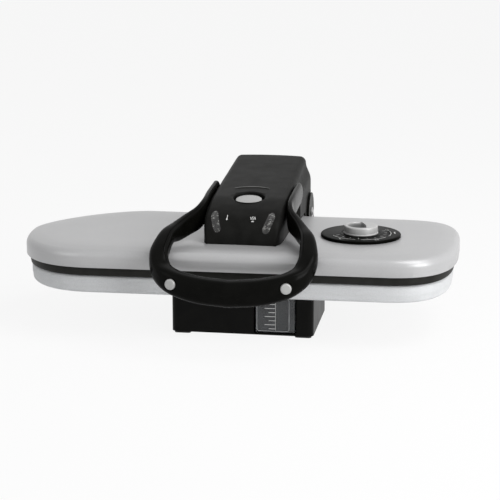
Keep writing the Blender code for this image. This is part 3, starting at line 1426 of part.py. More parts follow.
def build_handle():
    """Two mouldings clamped on a shaft, with a well for each button, the buttons and their springs."""
    pivot = (AXIS_X, HANDLE_PIVOT_Y, handle_pivot_z())
    outer = loft("handle_outer", handle_sections("outer"), BLACK_GLOSS, origin=pivot, seam="last_to_first")
    inner = loft("handle_inner", handle_sections("inner"), BLACK_GLOSS, origin=pivot, seam="first_to_last")
    half = handle_arm_x() + HANDLE_ARM_THICKNESS / 4
    cylinder(
        "handle_shaft",
        (AXIS_X - half, HANDLE_PIVOT_Y, handle_pivot_z()),
        (1, 0, 0),
        HANDLE_SHAFT_RADIUS,
        2 * half,
        STEEL,
        sides=24,
    )
    reach = half + GAP
    socket = cylinder(
        "handle_shaft_socket",
        (AXIS_X - reach, HANDLE_PIVOT_Y, handle_pivot_z()),
        (1, 0, 0),
        HANDLE_SHAFT_RADIUS + GAP,
        2 * reach,
        sides=24,
    )
    cut(outer, socket)
    cut(inner, socket)
    for name, (spot, out) in button_frames().items():
        face = spot + out * (BUTTON_SHOWN - BUTTON_LENGTH)
        well_depth = BUTTON_LENGTH - BUTTON_SHOWN + BUTTON_SPRING_LENGTH
        well = cylinder(
            "button_well_" + name,
            spot - out * well_depth,
            out,
            BUTTON_RADIUS + BUTTON_CLEARANCE,
            well_depth + OVERRUN,
            sides=24,
        )
        cut(outer, well)
        edge = BUTTON_SHOWN / 3
        profile = [
            (0, BUTTON_LENGTH),
            (BUTTON_RADIUS - edge, BUTTON_LENGTH - edge / 3),
            (BUTTON_RADIUS, BUTTON_LENGTH - edge),
            (BUTTON_RADIUS, 0),
            (0, 0),
        ]
        turned("button_" + name, profile, face, out, SILVER, steps=24)
        compression_spring(
            "button_spring_" + name,
            spot - out * well_depth,
            out,
            BUTTON_SPRING_RADIUS,
            BUTTON_SPRING_WIRE,
            BUTTON_SPRING_LENGTH,
            BUTTON_SPRING_TURNS,
        )


def build_tank():
    """Clear tank with its lid, fill plug and valve, the rails that it slides on, and its socket."""
    low = (TANK_LEFT_X, TANK_FRONT_Y, TANK_BOTTOM)
    high = (TANK_RIGHT_X, TANK_BACK_Y, TANK_TOP)
    outline = rounded_rectangle(low, high, TANK_ROUNDING)
    tank = plate("water_tank", outline, "XY", TANK_BOTTOM, TANK_TOP, SMOKY)
    inner_low = (TANK_LEFT_X + TANK_WALL, TANK_FRONT_Y + TANK_WALL)
    inner_high = (TANK_RIGHT_X - TANK_WALL, TANK_BACK_Y - TANK_WALL)
    hollow_outline = rounded_rectangle(inner_low, inner_high, TANK_ROUNDING - TANK_WALL)
    hollow = plate("tank_hollow", hollow_outline, "XY", TANK_BOTTOM + TANK_WALL, TANK_TOP + OVERRUN)
    middle_x = (TANK_LEFT_X + TANK_RIGHT_X) / 2
    valve_z = TANK_BOTTOM + VALVE_HEIGHT
    valve_hole = cylinder(
        "tank_valve_hole",
        (middle_x, TANK_BACK_Y - TANK_WALL - OVERRUN, valve_z),
        (0, 1, 0),
        VALVE_RADIUS + GAP,
        TANK_WALL + 2 * OVERRUN,
        sides=20,
    )
    cut(tank, hollow, valve_hole)

    lid = plate("tank_lid", outline, "XY", LID_BOTTOM, LID_TOP, SMOKY)
    fill_hole = cylinder(
        "fill_hole",
        (middle_x, FILL_HOLE_Y, LID_BOTTOM - OVERRUN),
        (0, 0, 1),
        FILL_HOLE_RADIUS + GAP,
        TANK_LID_THICKNESS + 2 * OVERRUN,
        sides=24,
    )
    cut(lid, fill_hole)
    head = FILL_HOLE_RADIUS + TANK_WALL
    plug_bottom = LID_BOTTOM - 2 * TANK_WALL
    head_bottom = LID_TOP + GAP
    profile = [
        (0, head_bottom + FILL_PLUG_HEAD),
        (head, head_bottom + FILL_PLUG_HEAD),
        (head, head_bottom),
        (FILL_HOLE_RADIUS, head_bottom),
        (FILL_HOLE_RADIUS, plug_bottom),
        (0, plug_bottom),
    ]
    turned("fill_plug", profile, (middle_x, FILL_HOLE_Y, 0), (0, 0, 1), RUBBER, steps=24)

    collar = VALVE_RADIUS + TANK_WALL
    inside = -TANK_WALL - GAP
    profile = [
        (0, VALVE_LENGTH),
        (VALVE_RADIUS - GAP, VALVE_LENGTH),
        (VALVE_RADIUS, VALVE_LENGTH - TANK_WALL),
        (VALVE_RADIUS, inside),
        (collar, inside),
        (collar, inside - TANK_WALL),
        (0, inside - TANK_WALL),
    ]
    turned("tank_valve", profile, (middle_x, TANK_BACK_Y, valve_z), (0, 1, 0), RUBBER, steps=20)
    socket_start = TANK_CLEARANCE
    bore = VALVE_RADIUS + TANK_CLEARANCE / 2
    outer = bore + SOCKET_WALL
    profile = [
        (bore, socket_start + SOCKET_LENGTH),
        (outer, socket_start + SOCKET_LENGTH),
        (outer, socket_start),
        (bore, socket_start),
    ]
    socket = turned(
        "valve_socket", profile, (middle_x, TANK_BACK_Y, valve_z), (0, 1, 0), BLACK_MATTE, closed=True, steps=20
    )
    foot = box(
        "valve_socket_foot",
        (middle_x - outer, TANK_BACK_Y + 2 * TANK_CLEARANCE, BASE_PLATE_TOP + GAP),
        (middle_x + outer, TANK_BACK_Y + SOCKET_LENGTH, valve_z - bore - SOCKET_WALL / 2),
    )
    join(socket, foot)

    for x, name in ((TANK_LEFT_X, "left"), (TANK_RIGHT_X - RAIL_WIDTH, "right")):
        box(
            "tank_rail_" + name,
            (x, BASE_FRONT_Y + 2 * BASE_WALL, RAIL_BOTTOM),
            (x + RAIL_WIDTH, TANK_BACK_Y, RAIL_BOTTOM + RAIL_HEIGHT),
            BLACK_MATTE,
        )


def build_pump():
    """Pump on its foot and the hose from the tank's socket to it."""
    axis_z = BASE_PLATE_TOP + GAP + PUMP_FOOT + PUMP_RADIUS
    front = PUMP_Y - PUMP_LENGTH / 2
    pump = cylinder("pump_body", (PUMP_X, front, axis_z), (0, 1, 0), PUMP_RADIUS, PUMP_LENGTH, STEEL, sides=24)
    foot = box(
        "pump_foot",
        (PUMP_X - PUMP_FOOT_HALF_WIDTH, front + PUMP_FOOT, BASE_PLATE_TOP + GAP),
        (PUMP_X + PUMP_FOOT_HALF_WIDTH, front + PUMP_LENGTH - PUMP_FOOT, BASE_PLATE_TOP + GAP + 2 * PUMP_FOOT),
    )
    port = cylinder(
        "pump_port",
        (PUMP_X, front + PUMP_LENGTH - PUMP_FOOT, axis_z),
        (0, 1, 0),
        PUMP_PORT_RADIUS,
        PUMP_PORT_LENGTH + PUMP_FOOT,
        sides=12,
    )
    join(pump, foot, port)
    middle_x = (TANK_LEFT_X + TANK_RIGHT_X) / 2
    valve_z = TANK_BOTTOM + VALVE_HEIGHT
    bend = 2 * HOSE_RADIUS
    back = TANK_BACK_Y + TANK_CLEARANCE + SOCKET_LENGTH + GAP
    port_end = front + PUMP_LENGTH + PUMP_PORT_LENGTH + GAP
    turn_y = max(back, port_end) + 2 * bend
    route = [
        (middle_x, back, valve_z),
        (middle_x, back + bend / 2, valve_z),
        (middle_x, back + bend, valve_z),
        (middle_x - bend, turn_y, valve_z),
        ((middle_x + PUMP_X) / 2, turn_y + bend, (valve_z + axis_z) / 2),
        (PUMP_X + bend, turn_y, axis_z),
        (PUMP_X, port_end + bend, axis_z),
        (PUMP_X, port_end + bend / 2, axis_z),
        (PUMP_X, port_end, axis_z),
    ]
    tube("pump_hose", smooth_path(route, 3), HOSE_RADIUS, RUBBER)


def build_gland():
    """The round grommet where the supply cord enters."""
    wall_out = tower_back_y()
    inside = -TOWER_WALL - GAP
    profile = [
        (GLAND_BORE, GLAND_SHOWN),
        (GLAND_RADIUS - GAP, GLAND_SHOWN),
        (GLAND_FLANGE - GLAND_FLANGE_THICKNESS, GAP + GLAND_FLANGE_THICKNESS),
        (GLAND_FLANGE, GAP),
        (GLAND_RADIUS, GAP),
        (GLAND_RADIUS, inside - GLAND_FLANGE_THICKNESS),
        (GLAND_BORE, inside - GLAND_FLANGE_THICKNESS),
    ]
    centre = (AXIS_X + GLAND_SIDE, wall_out, GLAND_Z)
    turned("cord_gland", profile, centre, (0, 1, 0), RUBBER, closed=True, steps=SMALL_SIDES)


def hang_on(name, place, nodes):
    """An empty on a joint's axis that carries the nodes that move with it."""
    empty = bpy.data.objects.new(name, None)
    empty.location = place
    PARTS.objects.link(empty)
    bpy.context.view_layer.update()
    for node in nodes:
        obj = bpy.data.objects[node]
        obj.parent = empty
        obj.matrix_parent_inverse = empty.matrix_world.inverted()
    return empty


def hang_bodies():
    """Each moving body under an empty on its joint's axis."""
    pivot = (AXIS_X, PIVOT_Y, PIVOT_Z)
    arm = (
        "arm_frame hinge_bush_left hinge_bush_right hood_cover rear_housing lamp_left lamp_right platen_shell "
        "sole_skirt soleplate heating_element platen_mount dial_disc thermostat control_board steam_switch"
    )
    on_arm = hang_on("press_axis", pivot, arm.split())
    top, _ = steam_button_frame()
    frames = button_frames()
    handle = (AXIS_X, HANDLE_PIVOT_Y, handle_pivot_z())
    on_handle = hang_on("handle_axis", handle, ["handle_outer", "handle_inner", "handle_shaft"])
    moving = [
        hang_on("dial_axis", (DIAL_X, DIAL_Y, SHELL_TOP), ["dial_knob"]),
        hang_on("steam_button_axis", top, ["steam_button"]),
        on_handle,
    ]
    for name, (spot, _) in frames.items():
        axis = hang_on(f"button_{name}_axis", spot, [f"button_{name}"])
        axis.parent = on_handle
        axis.matrix_parent_inverse = on_handle.matrix_world.inverted()
    for empty in moving:
        empty.parent = on_arm
        empty.matrix_parent_inverse = on_arm.matrix_world.inverted()
    tank = ["water_tank", "tank_lid", "fill_plug", "tank_valve"]
    hang_on("tank_axis", (TANK_LEFT_X, TANK_FRONT_Y, TANK_BOTTOM), tank)


build_feet()
build_base()
build_board()
build_platen()
build_dial()
build_arm()
build_springs()
build_hood()
build_rear_housing()
build_steam_button()
build_handle()
build_tank()
build_pump()
build_gland()
hang_bodies()
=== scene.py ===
"""Looks of a steam ironing press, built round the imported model.

Metres, +Z up, +Y to the hinge at the back, the origin on the table under the middle of the closed press.
Every new piece is a surface worked out with numpy as a grid of points.
"""

import json
import math

import bmesh
import bpy
import numpy as np
from mathutils import Matrix, Vector


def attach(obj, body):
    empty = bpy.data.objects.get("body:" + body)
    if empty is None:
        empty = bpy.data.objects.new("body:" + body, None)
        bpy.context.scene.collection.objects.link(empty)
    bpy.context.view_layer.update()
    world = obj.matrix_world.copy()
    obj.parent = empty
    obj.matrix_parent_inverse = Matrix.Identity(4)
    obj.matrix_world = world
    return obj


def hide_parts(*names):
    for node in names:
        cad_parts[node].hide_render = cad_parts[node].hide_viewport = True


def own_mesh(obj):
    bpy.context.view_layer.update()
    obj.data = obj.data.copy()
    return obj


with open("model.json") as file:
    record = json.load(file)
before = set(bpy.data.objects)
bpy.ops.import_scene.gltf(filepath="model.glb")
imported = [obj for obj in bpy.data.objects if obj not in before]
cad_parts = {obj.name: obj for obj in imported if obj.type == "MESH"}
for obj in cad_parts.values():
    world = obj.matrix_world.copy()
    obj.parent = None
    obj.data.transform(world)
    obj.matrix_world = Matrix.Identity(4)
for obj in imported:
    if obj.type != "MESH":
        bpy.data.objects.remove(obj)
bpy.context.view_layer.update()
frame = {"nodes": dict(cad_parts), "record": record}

# Photograph's view: turn, tilt down, distance from the point looked at, lens, that point, and shift of the frame
VIEW_TURN = math.radians(9.0)
VIEW_TILT = math.radians(13.3)
VIEW_DISTANCE = 2.548
FOCAL_MM = 122.4
LOOKED_AT = (0.0025, -0.01, 0.12)
FRAMING = (0.00899, -0.01049)

# Soft boxes: name, place and watts; all are of one size and face one point
LAMPS = (
    ("overhead", (1.05, -0.45, 1.7), 17),
    ("left_front", (-1.6, -1.7, 1.1), 5),
    ("right_front", (2.0, -1.2, 0.8), 30),
)
LAMP_SIDE, LAMP_AIM = 1.2, (0, 0, 0.1)
# Room's strength on the press, half the floor's side, its grey and how much of it glows to the camera
ROOM_LEVEL, FLOOR_REACH, FLOOR_GREY, FLOOR_GLOW = 0.42, 14.0, 0.86, 0.88

# Middle plane of the base, the arm and the handle, the hinge's axis, and the least gap between two pieces
AXIS_X = 0.013
HINGE_Y, HINGE_Z = 0.188, 0.128
GAP = 0.0003

# Quarters of the platen's plan: X where its straight run ends, Y of its tip, X and Y it reaches, squareness, turn
QUARTERS = (
    (0.214, 0.0, 0.3225, 0.1285, 3.5, 0),
    (-0.166, -0.015, -0.3225, 0.132, 1.5, 90),
    (-0.201, -0.015, -0.3225, -0.1585, 2.3, 180),
    (0.214, 0.0, 0.3225, -0.151, 2.75, 270),
)
QUARTER_STEPS, RUN_STEPS = 44, 30
# Line along the plan's middle: X of its ends, and its Y
SPINE_START_X, SPINE_END_X, SPINE_Y = -0.201, 0.214, (0.132 - 0.1585) / 2

# Levels of the stack: cover of the board, pan inside it, skirt, shell
COVER_BOTTOM, COVER_TOP = 0.071, 0.0969
PAN_BOTTOM, PAN_TOP = 0.0725, 0.0745
PRESS_PLANE = 0.0972
SKIRT_TOP = 0.1182
RIM_Z = 0.11
SHELL_TOP = 0.139

# Hood: its sizes, and shares of its length, half width, height and fillet at its stations, from nose to back
HOOD_FRONT_Y, HOOD_BACK_Y = -0.105, 0.2048
HOOD_HALF_WIDTH, HOOD_HEIGHT, HOOD_FILLET = 0.058, 0.0766, 0.01
HOOD_BOTTOM = 0.1394
HOOD_CROWN = 0.001
HOOD_WALL = 0.0025
HOOD_STATIONS = (
    (0.0, 0.845, 0.0, 0.0),
    (0.002, 0.865, 0.075, 0.25),
    (0.006, 0.886, 0.15, 0.45),
    (0.012, 0.908, 0.225, 0.62),
    (0.0205, 0.932, 0.3, 0.78),
    (0.033, 0.953, 0.373, 0.9),
    (0.053, 0.971, 0.45, 1.0),
    (0.081, 0.986, 0.517, 1.0),
    (0.129, 0.997, 0.597, 1.0),
    (0.184, 1.0, 0.662, 1.0),
    (0.242, 1.0, 0.713, 1.0),
    (0.307, 1.0, 0.745, 1.0),
    (0.403, 1.0, 0.785, 1.0),
    (0.558, 1.0, 0.852, 1.0),
    (0.694, 0.99, 0.908, 1.0),
    (0.78, 0.984, 0.948, 1.0),
    (0.86, 0.977, 0.984, 1.0),
    (0.952, 0.972, 1.022, 1.0),
    (0.981, 0.968, 1.022, 1.0),
    (0.995, 0.955, 0.99, 1.0),
    (1.0, 0.925, 0.935, 1.0),
)
# Hood over the hinge: its sides flare out to this half width, and reach lower
FLARE_START_Y, FLARE_RAMP = 0.0679, 0.004
FLARE_HALF_WIDTH, FLARE_HEIGHT = 0.0634, 0.024
TAIL_Y, TAIL_DROP, TAIL_END_Z = 0.1374, 0.019, 0.133

# Steam button: where its axis meets the hood, and the axis
STEAM_SPOT = (AXIS_X, -0.03, 0.194019)
STEAM_AXIS = (0.0, -0.120834, 0.992673)
STEAM_RADIUS = 0.0194
STEAM_CUP_DEPTH = 0.0104
# Well round the button, set back so that its far side shows as a dark crescent
WELL_SHIFT = 0.0032

# Loop handle
PIVOT_Y, PIVOT_Z = 0.05, 0.185
HANDLE_REACH, HANDLE_DROP = 0.261, 0.091
HANDLE_ARM_X, HANDLE_HALF_SPREAD = 0.06355, 0.106
ARM_THICKNESS, ARM_HEIGHT = 0.0095, 0.034
BAR_DEPTH, BAR_HEIGHT = 0.028, 0.038
# Squareness of its section and rings over a rounded end, then the turns where its mouldings meet, and their gap
HANDLE_SQUARENESS, END_STEPS = 3, 12
SEAM_LOW, SEAM_HIGH, SEAM_GAP = -62.0, 118.0, 0.0003
# Handle's side: shares of the way out to its widest point, of the reach, the drop and the bar's width and height
HANDLE_SIDE = (
    (0.0, 0.0, 0.0, 0.0, 0.0),
    (0.0, 0.231, 0.039, 0.0, 0.0),
    (0.0, 0.364, 0.088, 0.0, 0.0),
    (0.13, 0.46, 0.169, 0.04, -0.1),
    (0.42, 0.545, 0.239, 0.16, -0.6),
    (0.66, 0.625, 0.292, 0.36, -1.3),
    (0.87, 0.71, 0.323, 0.62, -2.8),
    (0.975, 0.795, 0.438, 0.85, -3.1),
    (1.0, 0.856, 0.562, 0.95, -2.6),
)
# Handle's front: shares of the half spread, of the reach, of the drop, and of the way to the bar's section
HANDLE_FRONT = (
    (0.943, 0.912, 0.725, 1.0, 0.3),
    (0.83, 0.954, 0.824, 1.0, 0.65),
    (0.66, 0.977, 0.901, 1.0, 0.85),
    (0.377, 0.992, 0.967, 1.0, 1.0),
    (0.0, 1.0, 1.0, 1.0, 1.0),
)
KEY_SPOT = (0.08134, -0.216562, 0.10561)
KEY_AXIS = (0.244965, -0.969532, 0.0)
KEY_RADIUS, KEY_WELL_DEPTH = 0.0078, 0.0097
LENS_RADIUS = 0.0052
# Travel of all three buttons, and the turns of their springs
BUTTON_TRAVEL, SPRING_TURNS = 0.0025, 3

# Dial on the shell
DIAL_CENTRE = (0.1785, -0.018, 0.0)
DISC_RADIUS, DISC_BOTTOM, DISC_TOP = 0.059, 0.1393, 0.1435
KNOB_RADIUS, KNOB_BOTTOM, KNOB_TOP = 0.0255, 0.1438, 0.1558
# Scoop in the knob's top, and the radii of the printed ticks, arcs and dots on the disc
SCOOP_RADIUS, SCOOP_DEPTH = 0.0208, 0.0075
TICK_RADIUS, ARC_RADIUS, DOT_RADIUS = 0.0345, 0.0445, 0.05

# Water tank
TANK_LEFT_X, TANK_RIGHT_X = 0.0315, 0.0925
TANK_FRONT_Y, TANK_BACK_Y = -0.094, 0.026
TANK_BOTTOM, TANK_TOP = 0.0065, 0.061
TANK_WALL, TANK_ROUNDING = 0.002, 0.004
# Marks on its front: levels of the strokes, their starts and end, the upright line, and the bead's corners
SCALE_LEVELS, SCALE_STARTS, SCALE_END = (0.0125, 0.0555, 8), (0.0525, 0.0465), 0.062
SCALE_LINE = ((0.0624, 0.01), (0.0628, 0.058))
BEAD_LOW, BEAD_HIGH = (0.0345, 0.0085), (0.083, 0.0585)


# ---- Camera, light and floor


def placed(name, data):
    """A new object in the scene."""
    obj = bpy.data.objects.new(name, data)
    bpy.context.scene.collection.objects.link(obj)
    return obj


def given(thing, **settings):
    """Makes settings on something of Blender's."""
    for name, value in settings.items():
        setattr(thing, name, value)
    return thing


class Tree:
    """The node tree of a world or a material, and short ways to add to it."""

    def __init__(self, owner):
        owner.use_nodes = True
        self.nodes, self.links = owner.node_tree.nodes, owner.node_tree.links

    def feed(self, socket, value):
        """Sets a socket to a value, or links it to another node's output."""
        if isinstance(value, bpy.types.NodeSocket):
            self.links.new(value, socket)
        else:
            socket.default_value = value

    def fill(self, node, **sockets):
        """Feeds the sockets of a node that are named."""
        for name, value in sockets.items():
            self.feed(node.inputs[name.replace("_", " ")], value)
        return node

    def node(self, kind, **sockets):
        """A new node with its sockets fed."""
        return self.fill(self.nodes.new(kind), **sockets)

    def sum_of(self, operation, a, b):
        """Two values through one sum; each is a socket or a number."""
        node = self.node("ShaderNodeMath")
        node.operation = operation
        self.feed(node.inputs[0], a)
        self.feed(node.inputs[1], b)
        return node.outputs["Value"]

    def seen_as_background(self):
        """1 for the rays by which the camera, a reflection or clear plastic shows the background, else 0."""
        rays = self.node("ShaderNodeLightPath").outputs
        seen = self.sum_of("MAXIMUM", rays["Is Camera Ray"], rays["Is Glossy Ray"])
        return self.sum_of("MAXIMUM", seen, rays["Is Transmission Ray"])


def set_camera():
    """The camera, back from the point looked at by its distance and moved aside to frame the press as photographed."""
    level = math.cos(VIEW_TILT)
    right = Vector((math.cos(VIEW_TURN), math.sin(VIEW_TURN), 0))
    ahead = Vector((-math.sin(VIEW_TURN) * level, math.cos(VIEW_TURN) * level, -math.sin(VIEW_TILT)))
    up = right.cross(ahead)
    place = Vector(LOOKED_AT) + right * FRAMING[0] + up * FRAMING[1] - ahead * VIEW_DISTANCE
    data = given(bpy.data.cameras.new("photo_view"), sensor_width=36, lens=FOCAL_MM)
    camera = placed("photo_view", data)
    camera.matrix_world = Matrix.Translation(place) @ Matrix((right, up, -ahead)).transposed().to_4x4()
    bpy.context.scene.camera = camera


def light_studio():
    """A pale room that the camera sees as white, with a soft box overhead and one at each side."""
    world = bpy.data.worlds.new("studio")
    bpy.context.scene.world = world
    tree = Tree(world)
    level = tree.node("ShaderNodeMapRange", Value=tree.seen_as_background(), To_Min=ROOM_LEVEL, To_Max=1.0)
    tree.fill(tree.nodes["Background"], Color=(1, 1, 1, 1), Strength=level.outputs["Result"])
    for name, place, watts in LAMPS:
        data = given(bpy.data.lights.new(name, "AREA"), shape="SQUARE", size=LAMP_SIDE, energy=watts)
        lamp = placed(name, data)
        lamp.location = place
        lamp.rotation_euler = (Vector(LAMP_AIM) - Vector(place)).to_track_quat("-Z", "Y").to_euler()


def lay_floor():
    """A pale floor that is nearly white to the camera and still takes the press's shadow."""
    data = bpy.data.meshes.new("floor")
    corners = [(x * FLOOR_REACH, y * FLOOR_REACH, 0) for x, y in ((-1, -1), (1, -1), (1, 1), (-1, 1))]
    data.from_pydata(corners, [], [(0, 1, 2, 3)])
    floor = placed("floor", data)
    look = bpy.data.materials.new("pale_floor")
    tree = Tree(look)
    tree.nodes.remove(tree.nodes["Principled BSDF"])
    matte = tree.node("ShaderNodeBsdfDiffuse", Color=(FLOOR_GREY, FLOOR_GREY, FLOOR_GREY, 1))
    glow = tree.node("ShaderNodeEmission", Color=(1, 1, 1, 1))
    share = tree.sum_of("MULTIPLY", tree.seen_as_background(), FLOOR_GLOW)
    mix = tree.node("ShaderNodeMixShader", Fac=share)
    tree.feed(mix.inputs[1], matte.outputs["BSDF"])
    tree.feed(mix.inputs[2], glow.outputs["Emission"])
    tree.fill(tree.nodes["Material Output"], Surface=mix.outputs["Shader"])
    data.materials.append(look)


set_camera()
light_studio()
lay_floor()


# ---- Finishes


class Finish(Tree):
    """A material with its Principled shader, and short ways to feed that shader from patterns in object space."""

    def __init__(self, name, colour, roughness, **settings):
        self.material = bpy.data.materials.new(name)
        super().__init__(self.material)
        self.shader = self.nodes["Principled BSDF"]
        self.fill(self.shader, Base_Color=(*colour, 1), Roughness=roughness, **settings)
        self.place = self.node("ShaderNodeTexCoord").outputs["Object"]

    def stretched(self, scale, turn=(0, 0, 0)):
        """Object coordinates stretched by a scale on each axis and turned."""
        return self.node("ShaderNodeMapping", Vector=self.place, Scale=scale, Rotation=turn).outputs["Vector"]

    def noise(self, scale, detail, where=None, roughness=0.5):
        """Noise of so many swells to the metre."""
        place = where or self.place
        node = self.node("ShaderNodeTexNoise", Vector=place, Scale=scale, Detail=detail, Roughness=roughness)
        return node.outputs["Fac"]

    def ranged(self, value, low, high, start=0.0, end=1.0):
        """A value carried from start..end to low..high."""
        ends = {"From_Min": start, "From_Max": end, "To_Min": low, "To_Max": high}
        return self.node("ShaderNodeMapRange", Value=value, **ends).outputs["Result"]

    def tinted(self, value, colours, start=0.35, end=0.65):
        """Feeds the colour from a value through a ramp between colours."""
        node = self.node("ShaderNodeValToRGB", Fac=value)
        ramp = node.color_ramp
        ramp.elements[0].position, ramp.elements[-1].position = start, end
        for i, colour in enumerate(colours[1:-1], 1):
            ramp.elements.new(start + (end - start) * i / (len(colours) - 1))
        for element, colour in zip(ramp.elements, colours):
            element.color = (*colour, 1)
        self.fill(self.shader, Base_Color=node.outputs["Color"])

    def rough(self, scale, detail, low, high):
        """Feeds the roughness from noise carried to low..high."""
        self.fill(self.shader, Roughness=self.ranged(self.noise(scale, detail), low, high))

    def bumped(self, height, depth, strength):
        """Relief of a depth in metres."""
        node = self.node("ShaderNodeBump", Height=height, Strength=strength, Distance=depth)
        self.fill(self.shader, Normal=node.outputs["Normal"])
        return self


def satin_paint():
    """Silver-grey satin paint: fine flakes that vary the grey a little, and a faint orange peel."""
    look = Finish("satin_silver_paint", (0.5, 0.5, 0.51), 0.42, Metallic=0.25, Specular_IOR_Level=0.2)
    look.tinted(look.noise(2600, 1), [(0.41, 0.41, 0.415), (0.49, 0.49, 0.495)])
    look.rough(30, 4, 0.29, 0.37)
    return look.bumped(look.noise(420, 2), 0.00004, 0.5)


def moulded(name, low, high, roughness, grain=900, depth=0.00005, shine=0.5):
    """Moulded plastic with a spark-eroded grain, slightly uneven in colour and gloss."""
    look = Finish(name, low, roughness, Specular_IOR_Level=shine)
    look.tinted(look.noise(60, 5), [low, high])
    look.rough(45, 4, roughness - 0.05, roughness + 0.06)
    return look.bumped(look.noise(grain, 3), depth, 0.6)


def silver_plastic():
    """Moulded plastic sprayed a satin silver: fine flakes over a faint pull of the mould."""
    look = Finish("satin_silver_plastic", (0.4, 0.4, 0.4), 0.38, Metallic=0.3)
    flakes = look.noise(3200, 2)
    look.tinted(flakes, [(0.33, 0.33, 0.325), (0.46, 0.46, 0.455)])
    look.rough(60, 4, 0.32, 0.44)
    return look.bumped(flakes, 0.00003, 0.4)


def knob_silver_painted_shade():
    """The silver plastic of the knob, darker the deeper it lies in the scoop of its top, as painted shade."""
    look = Finish("knob_silver_painted_shade", (0.4, 0.4, 0.4), 0.38, Metallic=0.2)
    split = look.node("ShaderNodeSeparateXYZ", Vector=look.place)
    aside = [look.sum_of("SUBTRACT", split.outputs[i], DIAL_CENTRE[i]) for i in (0, 1)]
    squares = [look.sum_of("MULTIPLY", value, value) for value in aside]
    radius = look.sum_of("SQRT", look.sum_of("ADD", *squares), 0)
    # Painted shade: the colour darkens within the scoop's radius and below the knob's top, for the shade in the scoop.
    outside = look.ranged(radius, 0, 0.8, SCOOP_RADIUS - 0.0005, SCOOP_RADIUS)
    height = look.ranged(split.outputs["Z"], 0, 0.8, KNOB_TOP - 0.005, KNOB_TOP - 0.0002)
    level = look.sum_of("ADD", look.sum_of("MAXIMUM", outside, height), look.ranged(look.noise(3200, 2), 0, 0.2))
    look.tinted(level, [(0.05, 0.05, 0.05), (0.16, 0.16, 0.16), (0.5, 0.5, 0.495)], 0.1, 0.95)
    look.rough(60, 4, 0.32, 0.44)
    return look.bumped(look.noise(700, 3), 0.00003, 0.4)


def pressing_cloth():
    """Silver-grey coated cloth: a plain weave of about ten threads to the centimetre, with a soft mottle."""
    look = Finish("pressing_cloth", (0.6, 0.61, 0.62), 0.75, Sheen_Weight=0.25)
    fine, wide = look.noise(900, 2), look.noise(35, 4)
    both = look.sum_of("ADD", look.ranged(fine, 0.1, 0.6), look.ranged(wide, 0.05, 0.25))
    look.tinted(both, [(0.52, 0.53, 0.54), (0.66, 0.67, 0.68)])
    waves = []
    for turn in (0, math.pi / 2):
        place = look.stretched((1, 1, 1), (0, 0, turn))
        waves.append(look.node("ShaderNodeTexWave", Vector=place, Scale=320, Distortion=0.6).outputs["Fac"])
    return look.bumped(look.sum_of("MULTIPLY", *waves), 0.0002, 0.5)


def bare_metal(name, low, high, roughness):
    """Metal with drawn lines along X and a faint stain."""
    look = Finish(name, low, roughness, Metallic=1.0)
    lines = look.noise(120, 4, look.stretched((1, 40, 40)))
    look.tinted(lines, [low, high])
    look.rough(50, 3, roughness - 0.08, roughness + 0.08)
    return look.bumped(lines, 0.00003, 0.5)


def clear_smoke():
    """Clear moulded plastic with a cool grey cast and a faint ripple."""
    look = Finish("clear_smoke", (0.4, 0.42, 0.44), 0.06, Transmission_Weight=0.92, Specular_IOR_Level=0.25)
    look.tinted(look.noise(24, 2), [(0.22, 0.235, 0.25), (0.34, 0.36, 0.38)])
    look.rough(18, 3, 0.04, 0.12)
    return look.bumped(look.noise(35, 2), 0.0002, 0.4)


def lamp_glass():
    """Dark smoked lens with pale specks painted into its colour as highlights."""
    look = Finish("dark_lens", (0.02, 0.02, 0.02), 0.16, Coat_Weight=0.15, Coat_Roughness=0.08)
    # Painted highlight: pale specks in the base colour stand in for glints of light in the lens.
    painted_glints = look.noise(210, 4, roughness=0.7)
    look.tinted(painted_glints, [(0.006, 0.006, 0.0055), (0.02, 0.02, 0.019), (0.22, 0.22, 0.21)], 0.41, 0.63)
    return look.bumped(look.noise(300, 2), 0.00006, 0.5)


LOOKS = {
    "satin_grey_shell": satin_paint(),
    "charcoal_plastic": moulded("charcoal_hood", (0.008, 0.008, 0.0075), (0.012, 0.012, 0.0113), 0.42, shine=0.03),
    "black_gloss": moulded(
        "black_handle", (0.002, 0.002, 0.0016), (0.0032, 0.0032, 0.0027), 0.24, 300, 0.00002, shine=0.045
    ),
    "black_matte": moulded("black_moulding", (0.0015, 0.0015, 0.0012), (0.0028, 0.0028, 0.0023), 0.36, shine=0.08),
    "silver_trim": silver_plastic(),
    "steel": bare_metal("drawn_steel", (0.42, 0.42, 0.42), (0.6, 0.6, 0.6), 0.35),
    "aluminium": bare_metal("pressed_aluminium", (0.55, 0.56, 0.57), (0.72, 0.73, 0.74), 0.42),
    "pad_fabric": pressing_cloth(),
    "pad_foam": moulded("pad_foam", (0.62, 0.58, 0.4), (0.75, 0.71, 0.53), 0.9, 700, 0.0006),
    "smoky_clear": clear_smoke(),
    "black_rubber": moulded("black_rubber", (0.014, 0.014, 0.014), (0.024, 0.024, 0.023), 0.75, 500),
    "brass": bare_metal("bush_brass", (0.5, 0.33, 0.12), (0.68, 0.48, 0.2), 0.35),
    "circuit_board": moulded("circuit_board", (0.01, 0.09, 0.03), (0.02, 0.16, 0.06), 0.4, 400),
    "lamp_lens": lamp_glass(),
}
